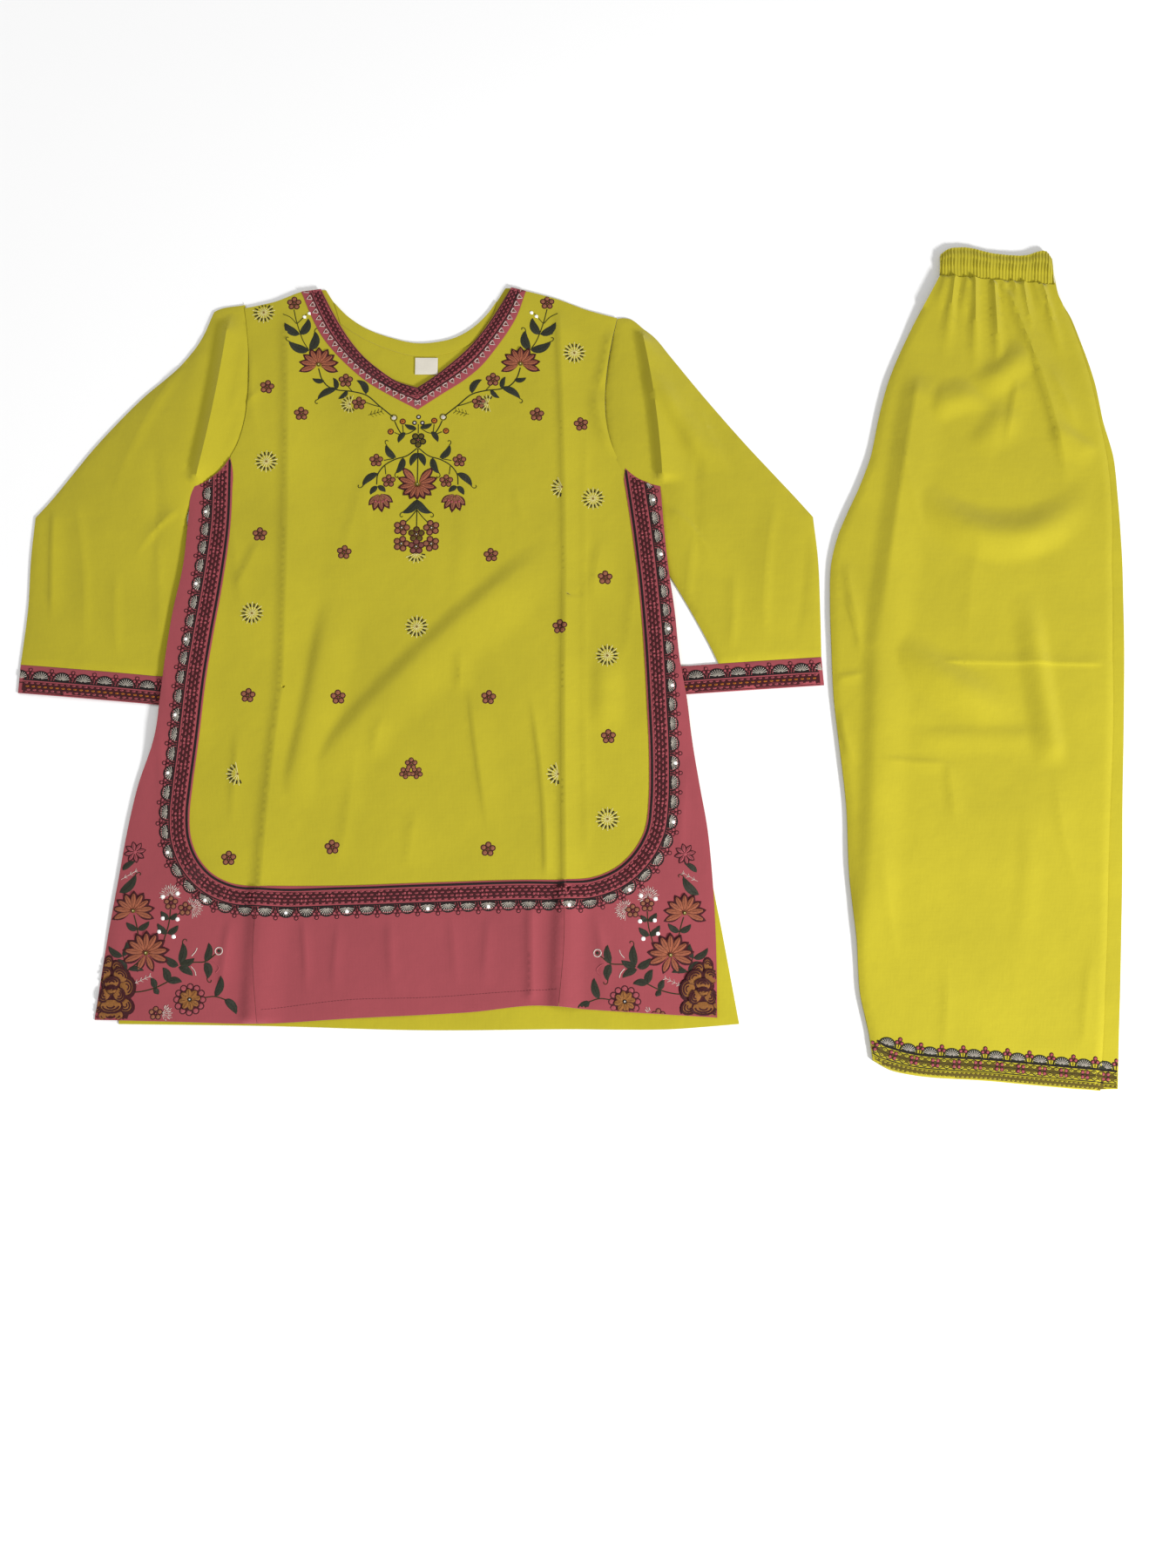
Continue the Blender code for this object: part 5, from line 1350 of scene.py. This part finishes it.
def make_waistband():
    """The elastic waistband, ribbed and sewn through."""
    columns, rows = RIBS * 6, 12
    high = even(smooth(BAND_TOP, 1.0), 0.5)[0]
    along = np.linspace(0, 1, columns + 1)[None, :]
    up = np.linspace(0, 1, rows + 1)[:, None]
    top_edge = np.stack([np.interp(along[0], np.linspace(0, 1, len(high)), high[:, k])
                         for k in (0, 1)])
    x = WAIST_LEFT[0] + (WAIST_RIGHT[0] - WAIST_LEFT[0]) * along
    y = WAIST_LEFT[1] + (WAIST_RIGHT[1] - WAIST_LEFT[1]) * along - 1.0
    x, y = x + (top_edge[0] - x) * up, y + (top_edge[1] - y) * up
    bulge = WAIST_BULK * (0.55 + 0.45 * np.sin(math.pi * up))
    roll = 2.6 * ease((up - 0.75) / 0.25) + 1.6 * ease(1 - np.minimum(along, 1 - along) / 0.05)
    uneven = 1 + 0.35 * np.sin(along * 61 + 1) + 0.2 * np.sin(along * 23)
    rib = RIB_HEIGHT * uneven * (0.5 + 0.5 * np.cos(2 * math.pi * along * RIBS + 0.9 * np.sin(up * 5)))
    rib = rib * (0.35 + 0.65 * np.sin(math.pi * np.minimum(1.0, 0.12 + 0.8 * up)))
    for seam_up in (0.30, 0.68):
        rib = rib * (1 - 0.65 * np.exp(-((up - seam_up) / 0.05) ** 2))
    top = LEG_LEVELS[3] - WALL + np.maximum(0.0, bulge - roll) + WAIST_WALL + rib - 1.2
    top = np.maximum(top, LEG_LEVELS[3] - 1.0)
    under = np.minimum(top - SHEET, LEG_LEVELS[3] - 1.4)
    count = (columns + 1) * (rows + 1)
    x, y = np.broadcast_to(x, top.shape), np.broadcast_to(y, top.shape)
    points = np.vstack([np.column_stack([x.ravel(), y.ravel(), z.ravel()])
                        for z in (top, np.broadcast_to(under, top.shape))])
    faces = []
    for row in range(rows):
        for column in range(columns):
            a = row * (columns + 1) + column
            quad = (a, a + 1, a + columns + 2, a + columns + 1)
            faces.append(quad)
            faces.append(tuple(count + i for i in reversed(quad)))
    rim = [row * (columns + 1) for row in range(rows, 0, -1)] + list(range(columns))
    rim += [row * (columns + 1) + columns for row in range(rows)]
    rim += [rows * (columns + 1) + column for column in range(columns, 0, -1)]
    faces += [(b, a, a + count, b + count) for a, b in zip(rim, rim[1:] + rim[:1])]
    piece = finish_mesh("waistband_cloth", points, faces, [yellow], 60.0)
    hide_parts("waistband")
    return piece


def make_stitching(kurta, sleeves, trousers):
    """All thread work, one mesh for each part of the set."""
    front = Stitching("front_embroidery", [kurta["kurta_front"]])
    for row in SUNBURSTS:
        sunburst(front, row.x, row.y, 9.6, start=row.start, sweep=row.sweep)
    for row in SMALL_FLOWERS:
        small_flower(front, row.x, row.y, 7.6, turn=row.turn)
    for dx, dy, turn in ((0, 5.5, 90), (-5.4, -3.6, 200), (5.4, -3.6, 340)):
        small_flower(front, -159 + dx, -121 + dy, 6.4, turn=turn)
    garland(front, FRONT_MIDDLE, 1)
    garland(front, FRONT_MIDDLE, -1, 1.0)
    medallion(front, FRONT_MIDDLE)
    front.build()
    sides = Stitching("corner_embroidery", [kurta["border_left"], kurta["border_right"]])
    corner(sides, HEM_MIDDLE, 1, 0)
    corner(sides, HEM_MIDDLE, -1, -2)
    sides.build()
    band = Stitching("band_embroidery", [kurta["border_band"], kurta["border_left"],
                                         kurta["border_right"], kurta["hem_panel"]])
    border_stitches(band)
    band.build()
    neck = Stitching("neck_embroidery", [kurta["neck_band"]])
    neck_stitches(neck)
    neck.build()
    for row in CUFFS:
        cuff = Stitching("cuff_embroidery_" + row.side, [sleeves["cuff_" + row.side]])
        cuff_stitches(cuff, row)
        cuff.build()
    leg = Stitching("leg_hem_embroidery", [trousers[k] for k in ("leg_upper", "layers", "leg_lower")])
    hem_stitches(leg)
    leg.build()
    sequins([kurta[k] for k in ("kurta_front", "border_left", "border_right", "border_band")])
    seams = Stitching("hem_sewing", [kurta["hem_panel"], kurta["border_left"], kurta["border_right"]])
    line = smooth([(-297, -358), (-214, -348), (-142, -346), (-56, -340), (-15, -338)], 3.0)
    stitch_line(seams, line, "maroon")
    seams.build()


# Camera, light and floor

CAMERA_ELEVATION = 76.0
CAMERA_DISTANCE = 2.30
CAMERA_TARGET = (0.014, -0.136, 0.003)
FOCAL_PIXELS = 2706.0
LONG_SIDE = 1800.0


def look_at(item, target):
    """Turns a camera or a light to the target."""
    way = Vector(target) - item.location
    item.rotation_euler = way.to_track_quat("-Z", "Y").to_euler()


def area_light(name, place, target, size, power):
    """A round lamp that faces the target."""
    light = bpy.data.lights.new(name, "AREA")
    light.shape = "DISK"
    light.size = size
    light.energy = power
    item = bpy.data.objects.new(name, light)
    bpy.context.scene.collection.objects.link(item)
    item.location = place
    look_at(item, target)


def set_stage():
    """Camera, two lamps, sky and floor."""
    camera = bpy.data.cameras.new("camera")
    camera.sensor_width = 36.0
    camera.lens = 36.0 * FOCAL_PIXELS / LONG_SIDE
    item = bpy.data.objects.new("camera", camera)
    bpy.context.scene.collection.objects.link(item)
    up = math.radians(CAMERA_ELEVATION)
    item.location = Vector(CAMERA_TARGET) + Vector((0, -math.cos(up), math.sin(up))) * CAMERA_DISTANCE
    look_at(item, CAMERA_TARGET)
    bpy.context.scene.camera = item
    area_light("key", (1.9, -1.65, 1.3), (0, 0, 0), 0.6, 104)
    area_light("fill", (-1.6, 1.4, 2.0), (0, 0, 0), 1.6, 14)
    world = bpy.data.worlds.new("studio")
    world.use_nodes = True
    background = world.node_tree.nodes["Background"]
    background.inputs["Color"].default_value = (1, 1, 1, 1)
    background.inputs["Strength"].default_value = 0.52
    bpy.context.scene.world = world
    bpy.context.scene.view_settings.view_transform = "Standard"
    bpy.ops.mesh.primitive_plane_add(size=8, location=(0, 0, -0.0002))
    floor = bpy.context.object
    floor.name = "floor"
    finish, tree, shader, add = node_material("floor paper", (250, 250, 250), 0.9, 0.0)
    place = add("ShaderNodeTexCoord").outputs["Object"]
    grain = add("ShaderNodeTexNoise", [(place, "Vector")], Scale=300.0)
    bumped(tree, shader, add, grain.outputs["Fac"], 0.03, 0.0002)
    shader.inputs["Base Color"].default_value = (0.96, 0.96, 0.96, 1)
    floor.data.materials.append(finish)


kurta = make_kurta()
sleeves = make_sleeves()
trousers = make_trousers()
make_stitching(kurta, sleeves, trousers)
set_stage()
